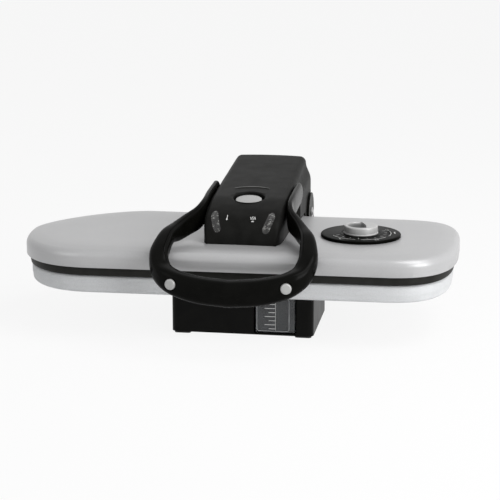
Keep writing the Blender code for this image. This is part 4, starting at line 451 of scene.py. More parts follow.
# Finishes that only new pieces have
SKIRT = moulded("black_skirt", (0.01, 0.01, 0.0085), (0.016, 0.016, 0.014), 0.5, 700, shine=0.15)
KNOB = knob_silver_painted_shade()
# Brow line: the hood's charcoal plastic painted lighter, a painted highlight along the ridge.
BROW = moulded("painted_highlight_ridge", (0.045, 0.045, 0.042), (0.07, 0.07, 0.067), 0.35, shine=0.3)
# Bead round the tank's window: clear plastic painted pale, a painted highlight along its edges.
EDGE = moulded("painted_highlight_edge", (0.3, 0.31, 0.32), (0.45, 0.46, 0.47), 0.25)
DISC = moulded("gloss_disc", (0.0015, 0.0015, 0.0012), (0.0025, 0.0025, 0.002), 0.3, 500, 0.00001, shine=0.012)
PRINT = moulded("pale_print", (0.7, 0.7, 0.69), (0.82, 0.82, 0.81), 0.5, 1200, 0.00001)
for row in frame["record"]["subparts"]:
    node = frame["nodes"][row["node"]]
    node.data.materials.clear()
    node.data.materials.append(LOOKS[row["material_slot"]].material)


# ---- Grids of points and the pieces made of them


# Points nearer than this are one point
DOUBLE = 0.000002
# Shares by which a ring is drawn in over a flat face
SHRINK = (0.85, 0.7, 0.5, 0.3, 0.1, 0.0)


def through(rows, steps):
    """Catmull-Rom curve through rows of numbers: cubic spans, each row's slope half the way between its neighbours."""
    rows = np.asarray(rows, float)
    held = np.vstack([2 * rows[0] - rows[1], rows, 2 * rows[-1] - rows[-2]])
    before, start, end, after = held[:-3], held[1:-2], held[2:-1], held[3:]
    t = np.linspace(0, 1, steps, endpoint=False)[:, None, None]
    bend = 2 * before - 5 * start + 4 * end - after
    twist = 3 * start - before - 3 * end + after
    spans = (2 * start + (end - before) * t + bend * t**2 + twist * t**3) / 2
    return np.vstack([spans.transpose(1, 0, 2).reshape(-1, rows.shape[1]), rows[-1:]])


def eased(profile, radius, steps=5):
    """A polyline with each corner drawn as a quadratic curve that starts and ends a radius from it."""
    profile = np.asarray(profile, float)
    t = np.linspace(0, 1, steps + 1)[:, None]
    runs = [profile[:1]]
    for before, corner, after in zip(profile, profile[1:], profile[2:]):
        back, on = before - corner, after - corner
        a = corner + back * min(radius / np.linalg.norm(back), 0.49)
        b = corner + on * min(radius / np.linalg.norm(on), 0.49)
        runs.append((1 - t) ** 2 * a + 2 * t * (1 - t) * corner + t**2 * b)
    return np.vstack(runs + [profile[-1:]])


def polar(radius, turn):
    """Plan points (r cos a, r sin a) of a radius and a turn."""
    return np.stack([radius * np.cos(turn), radius * np.sin(turn)], axis=-1)


def squared_off(turn, squareness):
    """Cosine and sine of a turn for a superellipse: sign |value|^(2/n) for its squareness n."""
    c, s = np.cos(turn), np.sin(turn)
    return np.sign(c) * np.abs(c) ** (2 / squareness), np.sign(s) * np.abs(s) ** (2 / squareness)


def unit(rows):
    """Rows scaled to a length of one."""
    return rows / np.linalg.norm(rows, axis=1, keepdims=True)


def lathe(profile, centre, axis=(0, 0, 1), steps=96):
    """A profile of radius and height turned once round an axis: (r cos a, r sin a, h), laid along the axis."""
    profile = np.asarray(profile, float)
    turn = np.array(Vector(axis).to_track_quat("Z", "Y").to_matrix())
    flat = profile[:, None, :1] * polar(1, np.linspace(0, 2 * np.pi, steps, endpoint=False))[None]
    high = np.broadcast_to(profile[:, None, 1:], (len(profile), steps, 1))
    return np.concatenate([flat, high], axis=2) @ turn.T + np.asarray(centre)


def capped(rings):
    """Closed ends: the first and the last ring are drawn together at their middles."""
    first = np.broadcast_to(rings[0].mean(axis=0), rings[0].shape)
    last = np.broadcast_to(rings[-1].mean(axis=0), rings[-1].shape)
    return np.concatenate([first[None], rings, last[None]])


def quads(rows, columns, wraps=(False, True)):
    """Corner numbers of the faces between neighbouring points of a grid that may close on itself either way."""
    i, j = np.meshgrid(np.arange(rows - 1 + wraps[0]), np.arange(columns - 1 + wraps[1]), indexing="ij")
    i, j = i.ravel(), j.ravel()
    k, l = (i + 1) % rows, (j + 1) % columns
    return np.stack([i * columns + j, i * columns + l, k * columns + l, k * columns + j], axis=1)


def levelled(outline, height):
    """A ring: an outline in plan at a height."""
    return np.column_stack([outline, np.full(len(outline), height)])


def mesh_of(name, grids, sharp=35, wraps=(False, True)):
    """One mesh from grids of points, each closed by rows or columns as told, its faces turned outward."""
    corners, faces, start = [], [], 0
    for points in grids:
        rows, columns = points.shape[:2]
        corners.append(points.reshape(-1, 3))
        faces.append(quads(rows, columns, wraps) + start)
        start += rows * columns
    data = bpy.data.meshes.new(name)
    data.from_pydata(np.vstack(corners).tolist(), [], np.vstack(faces).tolist())
    bm = bmesh.new()
    bm.from_mesh(data)
    bmesh.ops.remove_doubles(bm, verts=bm.verts, dist=DOUBLE)
    bmesh.ops.dissolve_degenerate(bm, edges=bm.edges, dist=DOUBLE / 2)
    bmesh.ops.recalc_face_normals(bm, faces=bm.faces)
    bm.to_mesh(data)
    bm.free()
    data.shade_smooth()
    data.set_sharp_from_angle(angle=math.radians(sharp))
    return placed(name, data)


def piece(name, grids, body, slot, sharp=35, look=None, wraps=(False, True)):
    """A piece on a body, in a slot of the record; its finish is the slot's unless another is given."""
    obj = mesh_of(name, grids, sharp, wraps)
    obj.data.materials.append((look or LOOKS[slot]).material)
    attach(obj, body)
    return obj


def modified(obj, kind, **settings):
    """Adds a modifier with its settings to an object."""
    return given(obj.modifiers.new(kind.lower(), kind), **settings)


def settled(obj, sharp=35):
    """Takes the object's modifiers into its mesh."""
    bpy.context.view_layer.update()
    graph = bpy.context.evaluated_depsgraph_get()
    data = bpy.data.meshes.new_from_object(obj.evaluated_get(graph))
    obj.modifiers.clear()
    obj.data = data
    data.shade_smooth()
    data.set_sharp_from_angle(angle=math.radians(sharp))


def hollowed(obj, cutters, sharp=35):
    """Takes each cutter's volume out of a closed piece, and removes the cutters."""
    for cutter in cutters:
        modified(obj, "BOOLEAN", operation="DIFFERENCE", solver="EXACT", object=cutter)
    settled(obj, sharp)
    for cutter in cutters:
        bpy.data.objects.remove(cutter, do_unlink=True)


def laid_on(obj, target, proud, wall, axis="y", easing=0.0):
    """Casts a flat piece along an axis onto a target, proud of it by so much, with a wall behind and eased edges."""
    front = axis == "y"
    cast = modified(obj, "SHRINKWRAP", wrap_method="PROJECT", wrap_mode="ABOVE_SURFACE", target=target, offset=proud)
    given(cast, use_project_x=False, use_project_y=front, use_project_z=not front)
    given(cast, use_negative_direction=not front, use_positive_direction=front)
    settled(obj)
    normals = np.empty(len(obj.data.polygons) * 3)
    obj.data.polygons.foreach_get("normal", normals)
    if normals.reshape(-1, 3)[:, 1 if front else 2].sum() * (-1 if front else 1) < 0:
        obj.data.flip_normals()
    modified(obj, "SOLIDIFY", thickness=wall, offset=-1)
    if easing:
        modified(obj, "BEVEL", width=easing, segments=4)
    settled(obj)


def plan(inset):
    """The platen's plan drawn in by an inset: four superellipse quarters and the straight runs between them.

    A quarter is (x, y) = middle + reach (sign cos |cos|^(2/n), sign sin |sin|^(2/n)) for its squareness n.
    """
    runs = []
    for middle_x, tip_y, end_x, reach_y, squareness, first in QUARTERS:
        c, s = squared_off(np.radians(first + np.linspace(0, 90, QUARTER_STEPS)), squareness)
        x = middle_x + (abs(end_x - middle_x) - inset) * c
        y = tip_y + (abs(reach_y - tip_y) - inset) * s
        runs.append(np.stack([x, y], axis=1))
    points = []
    for run, following in zip(runs, runs[1:] + runs[:1]):
        points.append(run)
        if np.linalg.norm(run[-1] - following[0]) > 0.02:
            t = np.linspace(0, 1, RUN_STEPS + 1, endpoint=False)[1:, None]
            points.append(run[-1] * (1 - t) + following[0] * t)
    return np.vstack(points)


def plan_rings(profile):
    """Rings of the plan, one for each inset and height of a profile."""
    return np.array([levelled(plan(inset), height) for inset, height in profile])


def drawn_in(ring, shares, height):
    """Rings that shrink from a ring towards the platen's long middle, and at last onto it."""
    spine = np.clip(ring[:, :2], (SPINE_START_X, SPINE_Y), (SPINE_END_X, SPINE_Y))
    return np.array([levelled(spine + (ring[:, :2] - spine) * share, height) for share in shares])


def shell_of_platen():
    """Pressed shell: rings of the plan up its side, round its fillet and in over the flat top, with a wall inside."""
    wall, fillet, side = 0.0025, 0.012, 0.014
    a = np.radians(np.linspace(0, 84, 12))
    shoulder = RIM_Z + side
    outer = [(0.0004, RIM_Z), (0.0, RIM_Z + 0.0006), (0.0, shoulder - 0.004)]
    outer += list(zip(fillet * (1 - np.cos(a)), shoulder + fillet * np.sin(a)))
    outer += [(0.0165, SHELL_TOP - 0.0016), (0.0285, SHELL_TOP - 0.00055), (0.045, SHELL_TOP)]
    inner = [(0.045, SHELL_TOP - wall), (0.0155, SHELL_TOP - wall - 0.0022), (0.0065, shoulder + 0.0055)]
    inner += [(wall, shoulder - 0.002), (wall, RIM_Z + 0.0004), (wall - 0.0005, RIM_Z)]
    over, under = plan_rings(outer), plan_rings(inner)
    top = drawn_in(over[-1], SHRINK, SHELL_TOP)
    ceiling = drawn_in(under[0], SHRINK, SHELL_TOP - wall)[::-1]
    rings = np.concatenate([ceiling, under, over, top])
    shell = piece("shell_of_platen", [rings], "arm", "satin_grey_shell")
    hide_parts("platen_shell")


def skirt_of_platen():
    """Heat-proof band under the shell: a ring of the plan with rounded lips, drawn in a little at its foot."""
    inset, thick, drawn, foot, lip = 0.0055, 0.004, 0.0006, 0.004, 0.0008
    low, high = PRESS_PLANE, SKIRT_TOP
    profile = [(inset + thick, high), (inset + thick, low), (inset + drawn, low), (inset, low + foot)]
    rings = plan_rings(eased(profile + [(inset, high), (inset + thick, high)], lip, 3))
    skirt = piece("skirt_of_platen", [rings], "arm", "black_matte", look=SKIRT)
    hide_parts("sole_skirt")


# ---- Padded board


# Cloth over the padded board: the form's voxels and how much smaller it starts, its pressure, how long it swells,
# how far a point may move, and over what height the swelling fades out under and over
CLOTH_VOXEL, CLOTH_INSET = 0.005, 0.0012
CLOTH_PRESSURE, CLOTH_FRAMES, CLOTH_CAP = 4.0, 20, 0.003
FADE_UNDER, FADE_OVER = 0.008, 0.009


def pad_profile():
    """Inset and height down the pad's side: over the crown, out to the bulge, under to the hem and back to the pan."""
    height = COVER_TOP - COVER_BOTTOM
    crown, bulge = 0.0175, 0.0058
    shares = np.array([(1.0, 1.0), (0.96, 0.42), (0.81, 0.09), (0.58, 0.0), (0.34, 0.05), (0.1, 0.24), (0.0, 0.53)])
    side = np.column_stack([bulge + (crown - bulge) * shares[:, 1], COVER_BOTTOM + height * shares[:, 0]])
    return np.vstack([[(0.026, COVER_TOP)], through(side, 5), [(0.02, COVER_BOTTOM)]])


def swollen(obj):
    """Cloth under a little pressure: the closed pad swells and creases, and no point moves further than the cap."""
    start = np.empty(len(obj.data.vertices) * 3)
    obj.data.vertices.foreach_get("co", start)
    cloth = modified(obj, "CLOTH")
    given(cloth.settings, use_pressure=True, uniform_pressure_force=CLOTH_PRESSURE, quality=5)
    given(cloth.settings, tension_stiffness=12, compression_stiffness=12, bending_stiffness=0.3)
    cloth.settings.effector_weights.gravity = 0.0
    given(cloth.point_cache, frame_start=1, frame_end=CLOTH_FRAMES)
    for number in range(1, CLOTH_FRAMES + 1):
        bpy.context.scene.frame_set(number)
    graph = bpy.context.evaluated_depsgraph_get()
    end = np.empty_like(start)
    obj.evaluated_get(graph).data.vertices.foreach_get("co", end)
    obj.modifiers.clear()
    move = (end - start).reshape(-1, 3)
    length = np.linalg.norm(move, axis=1, keepdims=True)
    move *= np.minimum(1, CLOTH_CAP / np.maximum(length, 1e-9))
    obj.data.vertices.foreach_set("co", (start.reshape(-1, 3) + move).ravel())
    obj.data.update()
    bpy.context.scene.frame_set(1)


def draped(grid, form, weights):
    """A grid drawn onto a form, row by row as far as its weights say: p + w (q - p), q the nearest point."""
    rows, columns = grid.shape[:2]
    data = bpy.data.meshes.new("drape")
    data.from_pydata(grid.reshape(-1, 3).tolist(), [], quads(rows, columns).tolist())
    sheet = placed("drape", data)
    modified(sheet, "SHRINKWRAP", target=form)
    settled(sheet)
    near = np.empty(rows * columns * 3)
    sheet.data.vertices.foreach_get("co", near)
    bpy.data.objects.remove(sheet, do_unlink=True)
    return grid + weights[:, None, None] * (near.reshape(grid.shape) - grid)


def pad_of_board():
    """Padded board cover: rings of the plan round its crowned section, its sides swollen and creased as cloth.

    Its hem is rolled over a cord under the board, 30 mm in, and the section leaves a slot for the steel pan.
    """
    side = pad_profile()
    over = plan_rings(side)
    top = drawn_in(over[0], SHRINK, COVER_TOP)[::-1]
    hem = np.array([(0.0275, 0.0), (0.029, -0.0009), (0.0303, -0.0005), (0.0306, 0.0006)]) + (0, COVER_BOTTOM)
    under = [*hem, (0.0303, PAN_BOTTOM - GAP), (0.0145 - GAP, PAN_BOTTOM - GAP)]
    under += [(0.0145 - GAP, PAN_TOP + GAP), (0.045, PAN_TOP + GAP)]
    below = plan_rings(under)
    floor = drawn_in(below[-1], SHRINK, PAN_TOP + GAP)
    body = plan_rings(side - (CLOTH_INSET, 0.0))
    lid = drawn_in(body[0], SHRINK, COVER_TOP)[::-1]
    base = drawn_in(body[-1], SHRINK, COVER_BOTTOM)
    form = mesh_of("pad_form", [np.concatenate([lid, body, base])])
    modified(form, "REMESH", mode="VOXEL", voxel_size=CLOTH_VOXEL)
    settled(form)
    swollen(form)
    rise = np.clip((side[:, 1] - COVER_BOTTOM) / FADE_UNDER, 0, 1)
    rise = rise * np.clip((COVER_TOP - side[:, 1]) / FADE_OVER, 0, 1)
    over = draped(over, form, rise * rise * (3 - 2 * rise))
    bpy.data.objects.remove(form, do_unlink=True)
    rings = np.concatenate([top, over, below, floor])
    pad = piece("pad_of_board", [rings], "base", "pad_fabric", 60)
    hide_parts("pad_cover", "foam_pad")


# ---- Hood


# Points up the hood's side, round its fillet and over half its crown, and steps between two stations
SIDE_STEPS, BEND_STEPS, STATION_STEPS = 22, 9, 9
# Notch for the hinge pin's end, and the bore for the button's stem
NOTCH_RADIUS, NOTCH_REACH, STEM_BORE_RADIUS = 0.0075, 0.08, 0.0056
# Radius and height of what is cut for the button's well, and of the cup that lines it
WELL_PROFILE = [(0, 0.012), (0.0262, 0.012), (0.0262, 0.0006), (0.0233, -0.0014), (0.0233, -0.0085), (0, -0.0085)]
CUP_PROFILE = [(0.0246, -0.0009), (0.0233, -0.0014), (0.0231, -0.0102), (0, -0.0102), (0, -0.012), (0.025, -0.012)]


def hood_rings():
    """Rings across the hood: up its side with the flare of the hinge's housing, round the fillet, over the crown.

    The side is x = half + flare S(fall), S a smooth step of how far the point lies below the shoulder; the top is
    z = top - crown (x / flat)^2. Columns run from the left lower edge to the right one.
    """
    scale = (HOOD_BACK_Y - HOOD_FRONT_Y, HOOD_HALF_WIDTH, HOOD_HEIGHT, HOOD_FILLET)
    stations = through(HOOD_STATIONS, STATION_STEPS) * scale + (HOOD_FRONT_Y, 0, HOOD_BOTTOM, 0)
    y, half, top, fillet = stations.T[:, :, None]
    way = (y - TAIL_Y) / (HOOD_BACK_Y - TAIL_Y)
    tail = HOOD_BOTTOM - TAIL_DROP
    low = np.where(y >= TAIL_Y, tail + (TAIL_END_Z - tail) * way, HOOD_BOTTOM)
    shoulder = top - HOOD_CROWN - fillet
    t = np.linspace(0, 1, SIDE_STEPS)[None, :-1]
    z_side = low + (shoulder - low) * t
    fall = np.clip((shoulder - z_side) / FLARE_HEIGHT, 0, 1)
    ramp = np.clip((y - FLARE_START_Y) / FLARE_RAMP, 0, 1)
    flare = (FLARE_HALF_WIDTH - half) * ramp * ramp * (3 - 2 * ramp)
    x_side = half + flare * fall * fall * (3 - 2 * fall)
    a = np.radians(np.linspace(0, 90, BEND_STEPS))[None]
    x_bend = half - fillet + fillet * np.cos(a)
    z_bend = shoulder + fillet * np.sin(a)
    flat = half - fillet
    s = np.linspace(1, 0, BEND_STEPS)[None, 1:]
    x_top = flat * s
    z_top = top - HOOD_CROWN * s**2
    x = np.hstack([x_side, x_bend, x_top])
    z = np.hstack([z_side, z_bend, z_top])
    x = np.hstack([-x, x[:, -2::-1]])
    z = np.hstack([z, z[:, -2::-1]])
    return np.stack([AXIS_X + x, np.broadcast_to(y, x.shape), z], axis=2)


def hood():
    """The hood's skin over the arm and the hinge: closed at its back, with the button's well and the pin's notches."""
    rings = hood_rings()
    shares = np.linspace(1, 0, BEND_STEPS)[1:, None, None]
    foot = rings[-1] * (1, 1, 0) + (0, 0, TAIL_END_Z)
    back = foot + (rings[-1] - foot) * shares
    skin = piece("hood", [np.concatenate([rings, back])], "arm", "charcoal_plastic", 50, wraps=(False, False))
    modified(skin, "SOLIDIFY", thickness=HOOD_WALL, offset=-1)
    settled(skin, 50)
    axis = Vector(STEAM_AXIS)
    well = Vector(STEAM_SPOT) + Vector((0, axis.z, -axis.y)) * WELL_SHIFT
    cutters = [mesh_of("well_cutter", [lathe(eased(WELL_PROFILE, 0.0006), well, axis, 80)])]
    bore = [(0, 0), (NOTCH_RADIUS, 0), (NOTCH_RADIUS, 2 * NOTCH_REACH), (0, 2 * NOTCH_REACH)]
    cutters.append(mesh_of("pin_cutter", [lathe(bore, (AXIS_X - NOTCH_REACH, HINGE_Y, HINGE_Z), (1, 0, 0), 48)]))
    hollowed(skin, cutters, 50)
    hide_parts("hood_cover", "rear_housing")
    profile = eased(CUP_PROFILE + CUP_PROFILE[:1], 0.0004, 3)
    cup = piece("button_well", [lathe(profile, well, axis, 80)], "arm", "charcoal_plastic")
    bore = [(0, -0.02), (STEM_BORE_RADIUS, -0.02), (STEM_BORE_RADIUS, -0.006), (0, -0.006)]
    hollowed(cup, [mesh_of("stem_bore", [lathe(bore, STEAM_SPOT, axis, 40)])])
    return skin


# Lens: how far aside and above the hood's bottom its line starts and ends
LENS_LOW, LENS_HIGH = (0.0355, 0.0215), (0.0415, 0.0365)
# Brow line round the button: its radius, width, and the turns where it starts and ends
BROW_RADIUS, BROW_WIDTH, BROW_TURNS = 0.051, 0.0024, (62, 124)
# Plain marks: where the thermometer and the steam sign lie, aside and up, and the width of their strokes
WARM_SPOT, STEAM_MARK_SPOT, MARK_WIDTH = (-0.0228, 0.0358), (0.0151, 0.0356), 0.0008
# Steam sign: how far aside each wave lies, and its height
STEAM_WAVES = ((-0.0029, 0.0028), (0.0, 0.0042), (0.0029, 0.0028))


def hood_details(skin):
    """Lenses in the nose's corners, the brow line above the steam button and two plain marks.

    A lens is a stroke with round ends: its width is 2 sqrt(r^2 - d^2), d how far a point lies beyond the line's end.
    The brow line runs on a circle about the button, its width falling to its ends as sqrt(sin). A wave of the steam
    sign leans aside as the sine of its height.
    """
    flat = {"wraps": (False, False)}
    for side, name in ((-1, "left"), (1, "right")):
        low, high = (np.array([AXIS_X + side * x, HOOD_BOTTOM + z]) for x, z in (LENS_LOW, LENS_HIGH))
        reach = np.linalg.norm(high - low)
        turn = np.linspace(0.08, np.pi - 0.08, 40)
        t = 0.5 - (0.5 + LENS_RADIUS / reach) * np.cos(turn)
        beyond = np.maximum(np.maximum(-t, t - 1), 0) * reach
        width = 2 * np.sqrt(np.maximum(LENS_RADIUS**2 - beyond**2, 1e-10))
        grid = stroke(low + (high - low) * t[:, None], width, "y")
        lens = piece("lens_" + name, [grid], "arm", "lamp_lens", **flat)
        laid_on(lens, skin, 0.0004, 0.0012)
        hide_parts("lamp_" + name)

    line = polar(BROW_RADIUS, np.radians(np.linspace(*BROW_TURNS, 60))) + STEAM_SPOT[:2]
    taper = np.sin(np.linspace(0.1, np.pi - 0.1, 60)) ** 0.5
    grid = stroke(line, BROW_WIDTH * taper, "z", 0.24)
    # The brow takes the lighter finish as a painted highlight.
    brow = piece("brow_line", [grid], "arm", "charcoal_plastic", 80, BROW, **flat)
    laid_on(brow, skin, 0.001, 0.0016, "z", 0.0008)

    t = np.linspace(0, 1, 14)[:, None]
    even = np.full(14, MARK_WIDTH)
    warm, steam = (np.array([AXIS_X + x, HOOD_BOTTOM + z]) for x, z in (WARM_SPOT, STEAM_MARK_SPOT))
    bulb = 0.0022 * np.sin(np.pi * np.clip(t[:, 0], 0.04, 0.96))
    stem = stroke(warm + (0, 0.0024) - t * (0, 0.0036), even, "y")
    marks = [stem, stroke(warm - (0, 0.001) - t * (0, 0.0023), bulb, "y")]
    for shift, rise in STEAM_WAVES:
        wave = np.hstack([shift + 0.0006 * np.sin(2 * np.pi * t), rise * (t - 0.5)])
        marks.append(stroke(steam + wave, even, "y"))
    marks.append(stroke(steam + (-0.0018, -0.0037) + t * (0.0036, 0), even, "y"))
    for number, grid in enumerate(marks, 1):
        mark = piece(f"hood_mark_{number}", [grid], "arm", "silver_trim", 80, PRINT, **flat)
        laid_on(mark, skin, 0.00025, 0.0006)


def stroke(line, width, axis, level=HOOD_FRONT_Y - 0.01):
    """A flat band along a line of points: p + w n, n across the line, nine points wide."""
    along = unit(np.gradient(line, axis=0))
    across = np.column_stack([-along[:, 1], along[:, 0]])
    shares = np.linspace(-0.5, 0.5, 9)
    flat = line[:, None] + across[:, None] * (width[:, None] * shares)[..., None]
    height = np.full((len(line), 9), level)
    parts = (flat[..., 0], flat[..., 1], height) if axis == "z" else (flat[..., 0], height, flat[..., 1])
    return np.stack(parts, axis=2)


# ---- Steam button and handle


def spring(node, foot, axis, radius, wire, length, joint):
    """Small compression spring under its button: (r cos a, r sin a, h), h rising evenly with the turn a.

    A circle of wire rides on that line, one half across it and one half up it.
    """
    a = np.linspace(0, 2 * np.pi * SPRING_TURNS, 24 * SPRING_TURNS + 1)
    height = GAP + wire + (length - 2 * GAP - 2 * wire) * np.linspace(0, 1, len(a))
    out = np.stack([np.cos(a), np.sin(a), np.zeros(len(a))], axis=1)
    line = out * radius + np.stack([0 * a, 0 * a, height], axis=1)
    b = np.linspace(0, 2 * np.pi, 10, endpoint=False)[None, :, None]
    rings = line[:, None] + wire * (np.cos(b) * out[:, None] + np.sin(b) * np.array([0, 0, 1.0]))
    turn = np.array(Vector(axis).to_track_quat("Z", "Y").to_matrix())
    body = "arm" if joint == "steam_press" else "handle"
    coil = piece(node + "_coil", [capped(rings @ turn.T + foot)], body, "steel", 60)
    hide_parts(node)
    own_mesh(coil)


def steam_button():
    """Steam button: a low dome on a stem, turned about its axis."""
    profile = [(0, -0.0008), (0.009, -0.001), (0.015, -0.0016), (0.0183, -0.0022), (0.0193, -0.003)]
    profile = through([*profile, (STEAM_RADIUS, -0.004)], 4)
    under = [(STEAM_RADIUS, -0.0049), (0.0191, -0.0052), (0.005, -0.0052)]
    stem = [(0.005, -0.0148), (0.0044, -0.0154), (0.0, -0.0154)]
    grid = lathe(np.vstack([profile, under, stem]), STEAM_SPOT, STEAM_AXIS, 96)
    button = piece("steam_button_cap", [grid], "steam_key", "silver_trim", 45)
    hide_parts("steam_button")
    foot = np.array(STEAM_SPOT) - STEAM_CUP_DEPTH * np.array(STEAM_AXIS)
    spring("steam_button_spring", foot, STEAM_AXIS, 0.0082, 0.0004, 0.0052, "steam_press")


def handle_stations(table, inner_x, first_height):
    """Centre line, width and height at a table's stations, out from inner_x and on from the first height."""
    out, reach, drop, wide, tall = np.transpose(table)
    x = inner_x + (HANDLE_HALF_SPREAD - inner_x) * out
    y, z = PIVOT_Y - HANDLE_REACH * reach, PIVOT_Z - HANDLE_DROP * drop
    width = ARM_THICKNESS + (BAR_DEPTH - ARM_THICKNESS) * wide
    return np.stack([x, y, z, width, first_height + (BAR_HEIGHT - first_height) * tall], axis=1)


def handle_line():
    """Centre line, width and height of the whole loop, from the left pivot round the front to the right one."""
    side = handle_stations(HANDLE_SIDE, HANDLE_ARM_X, ARM_HEIGHT)
    front = handle_stations(HANDLE_FRONT, 0.0, side[-1, 4])
    half = through(np.vstack([side, front]), STATION_STEPS)
    return np.vstack([half * (-1, 1, 1, 1, 1), half[-2::-1]])


def handle_half(which):
    """Rings of one moulding of the handle: its share of a rounded-rectangle section carried along the loop.

    The section is (w/2 sign cos |cos|^(2/3), h/2 sign sin |sin|^(2/3)); the ends round off as a half circle.
    """
    line = handle_line()
    places, width, height = line[:, :3], line[:, 3], line[:, 4]
    along = unit(np.gradient(places, axis=0))
    along[0], along[-1] = (0, -1, 0), (0, 1, 0)
    a = np.radians(np.linspace(87, 0, END_STEPS, endpoint=False))
    radius = ARM_HEIGHT / 2
    start = places[0] - along[0] * radius * np.sin(a)[:, None]
    end = places[-1] + along[-1] * radius * np.sin(a[::-1])[:, None]
    places = np.vstack([start, places, end])
    along = np.vstack([np.repeat(along[:1], END_STEPS, 0), along, np.repeat(along[-1:], END_STEPS, 0)])
    width = np.concatenate([np.full(END_STEPS, width[0]), width, np.full(END_STEPS, width[-1])])
    height = np.concatenate([height[0] * np.cos(a), height, height[-1] * np.cos(a[::-1])])
    up = unit(np.array([0, 0, 1.0]) - along * along[:, 2:])
    out = np.cross(along, up)
    first, last = (SEAM_LOW, SEAM_HIGH) if which == "outer" else (SEAM_HIGH, SEAM_LOW + 360)
    inward = np.radians(1.2)
    angles = np.radians(np.linspace(first, last, 26))
    angles = np.concatenate([angles[:1], [angles[0] + inward], angles[1:-1], [angles[-1] - inward], angles[-1:]])
    depth = np.ones(len(angles))
    depth[[0, -1]] = 0.975
    c, s = squared_off(angles, HANDLE_SQUARENESS)
    u = width[:, None] / 2 * depth * c
    v = height[:, None] / 2 * depth * s
    chord = unit(np.stack([u[:, -1] - u[:, 0], v[:, -1] - v[:, 0]], axis=1))
    aside = np.stack([-chord[:, 1], chord[:, 0]], axis=1) * (-SEAM_GAP / 2)
    u = u + aside[:, :1]
    v = v + aside[:, 1:]
    rings = places[:, None] + out[:, None] * u[..., None] + up[:, None] * v[..., None]
    return capped(rings + (AXIS_X, 0, 0))


def handle():
    """Both mouldings of the loop handle, with a well for each key in the outer one, and the two keys."""
    outer = piece("handle_outer_half", [handle_half("outer")], "handle", "black_gloss", 40)
    inner = piece("handle_inner_half", [handle_half("inner")], "handle", "black_gloss", 40)
    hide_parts("handle_inner")
    wells = []
    for side, name in ((-1, "left"), (1, "right")):
        spot = (AXIS_X + side * KEY_SPOT[0], *KEY_SPOT[1:])
        axis = (side * KEY_AXIS[0], *KEY_AXIS[1:])
        well = [(0, 0.006), (0.0098, 0.006), (0.0084, -0.0002), (0.0084, -KEY_WELL_DEPTH), (0, -KEY_WELL_DEPTH)]
        wells.append(mesh_of("well_" + name, [lathe(eased(well, 0.0006), spot, axis, 56)]))
        key = [(0, 0.00275), (0.004, 0.0027), (0.0063, 0.0024), (0.0074, 0.0017), (KEY_RADIUS, 0.0006)]
        key = np.vstack([through(key, 4), [(KEY_RADIUS, -0.0034), (0.0074, -0.0037), (0, -0.0037)]])
        cap = piece("key_" + name, [lathe(key, spot, axis, 64)], name + "_key", "silver_trim", 45)
        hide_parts("button_" + name)
        foot = np.array(spot) - KEY_WELL_DEPTH * np.array(axis)
        spring("button_spring_" + name, foot, axis, 0.0052, 0.0005, 0.006, name + "_button_press")
    hollowed(outer, wells, 40)
    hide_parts("handle_outer")


# ---- Dial


def dial():
    """Dial: a dark disc with a raised ring and printed marks, and a knob with a half-moon scoop.

    The scoop's rings shrink to its deepest point and lie at z = top - depth (1 - s^2)^0.6, s their share of the rim.
    """
    low, high, bore = DISC_BOTTOM, DISC_TOP, 0.0033
    ring = [(0.0285, high), (0.0292, high + 0.0004), (0.0306, high + 0.0004), (0.0313, high)]
    groove = [(0.056, high), (0.0566, high - 0.0004), (0.0572, high)]
    rim = [(DISC_RADIUS - 0.001, high - 0.0001), (DISC_RADIUS, high - 0.0011), (DISC_RADIUS, low)]
    profile = eased([(bore, high), *ring, *groove, *rim, (bore, low), (bore, high)], 0.0003, 3)
    disc = piece("dial_plate", [lathe(profile, DIAL_CENTRE, steps=160)], "arm", "black_gloss", 30, DISC)
    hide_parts("dial_disc")

    marks = []
    for turn in np.radians(np.arange(-150, 91, 20)):
        long = 0.0055 if round(math.degrees(turn)) % 60 == 30 else 0.0035
        marks.append(printed_bar(TICK_RADIUS, TICK_RADIUS + long, turn, 0.0006))
    for start, end in ((-150, -95), (-85, -30), (-20, 40)):
        marks.append(printed_arc(ARC_RADIUS, math.radians(start), math.radians(end), 0.0007))
    for group, turn in enumerate(np.radians((-122, -57, 10)), 1):
        for spot in range(group):
            aside = turn + (spot - (group - 1) / 2) * 0.075
            marks.append(printed_dot(DOT_RADIUS, aside, 0.0013))
    piece("dial_marks", marks, "arm", "silver_trim", 30, PRINT)

    low, high = KNOB_BOTTOM, KNOB_TOP
    profile = [(0, high - 0.0002), (0.016, high - 0.0001), (0.0226, high), (0.0242, high - 0.0005)]
    profile += [(0.0249, high - 0.0018), (0.025, low + 0.003), (0.0245, low + 0.0027), (0.0245, low + 0.0023)]
    profile += [(KNOB_RADIUS - 0.0003, low + 0.002), (KNOB_RADIUS, low + 0.0016), (KNOB_RADIUS, low)]
    profile = eased(profile + [(0.003, low), (0.003, 0.125), (0.0, 0.1245)], 0.0004, 3)
    knob = piece("knob", [lathe(profile, DIAL_CENTRE, steps=128)], "dial", "silver_trim", 30, KNOB)
    rim = polar(SCOOP_RADIUS, np.radians(np.linspace(94, 297, 40)))
    t = np.linspace(0, 1, 12)[1:-1, None]
    outline = np.vstack([rim, rim[-1] * (1 - t) + rim[0] * t + np.array([0.9, 0.25]) * 0.003 * np.sin(np.pi * t)])
    deepest = (rim[0] + rim[-1]) / 2 + (-0.0028, -0.0005)
    shares = np.sin(np.radians(np.linspace(6, 90, 14)))
    levels = high - SCOOP_DEPTH * np.sqrt(np.clip(1 - shares**2, 0, 1)) ** 1.2 + 0.0004
    shares, levels = np.append(shares, 1.0), np.append(levels, high + 0.002)
    rings = [levelled(deepest + (outline - deepest) * s, z) for s, z in zip(shares, levels)]
    scoop = mesh_of("scoop", [capped(np.array(rings)) + DIAL_CENTRE])
    hollowed(knob, [scoop], 30)
    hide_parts("dial_knob")


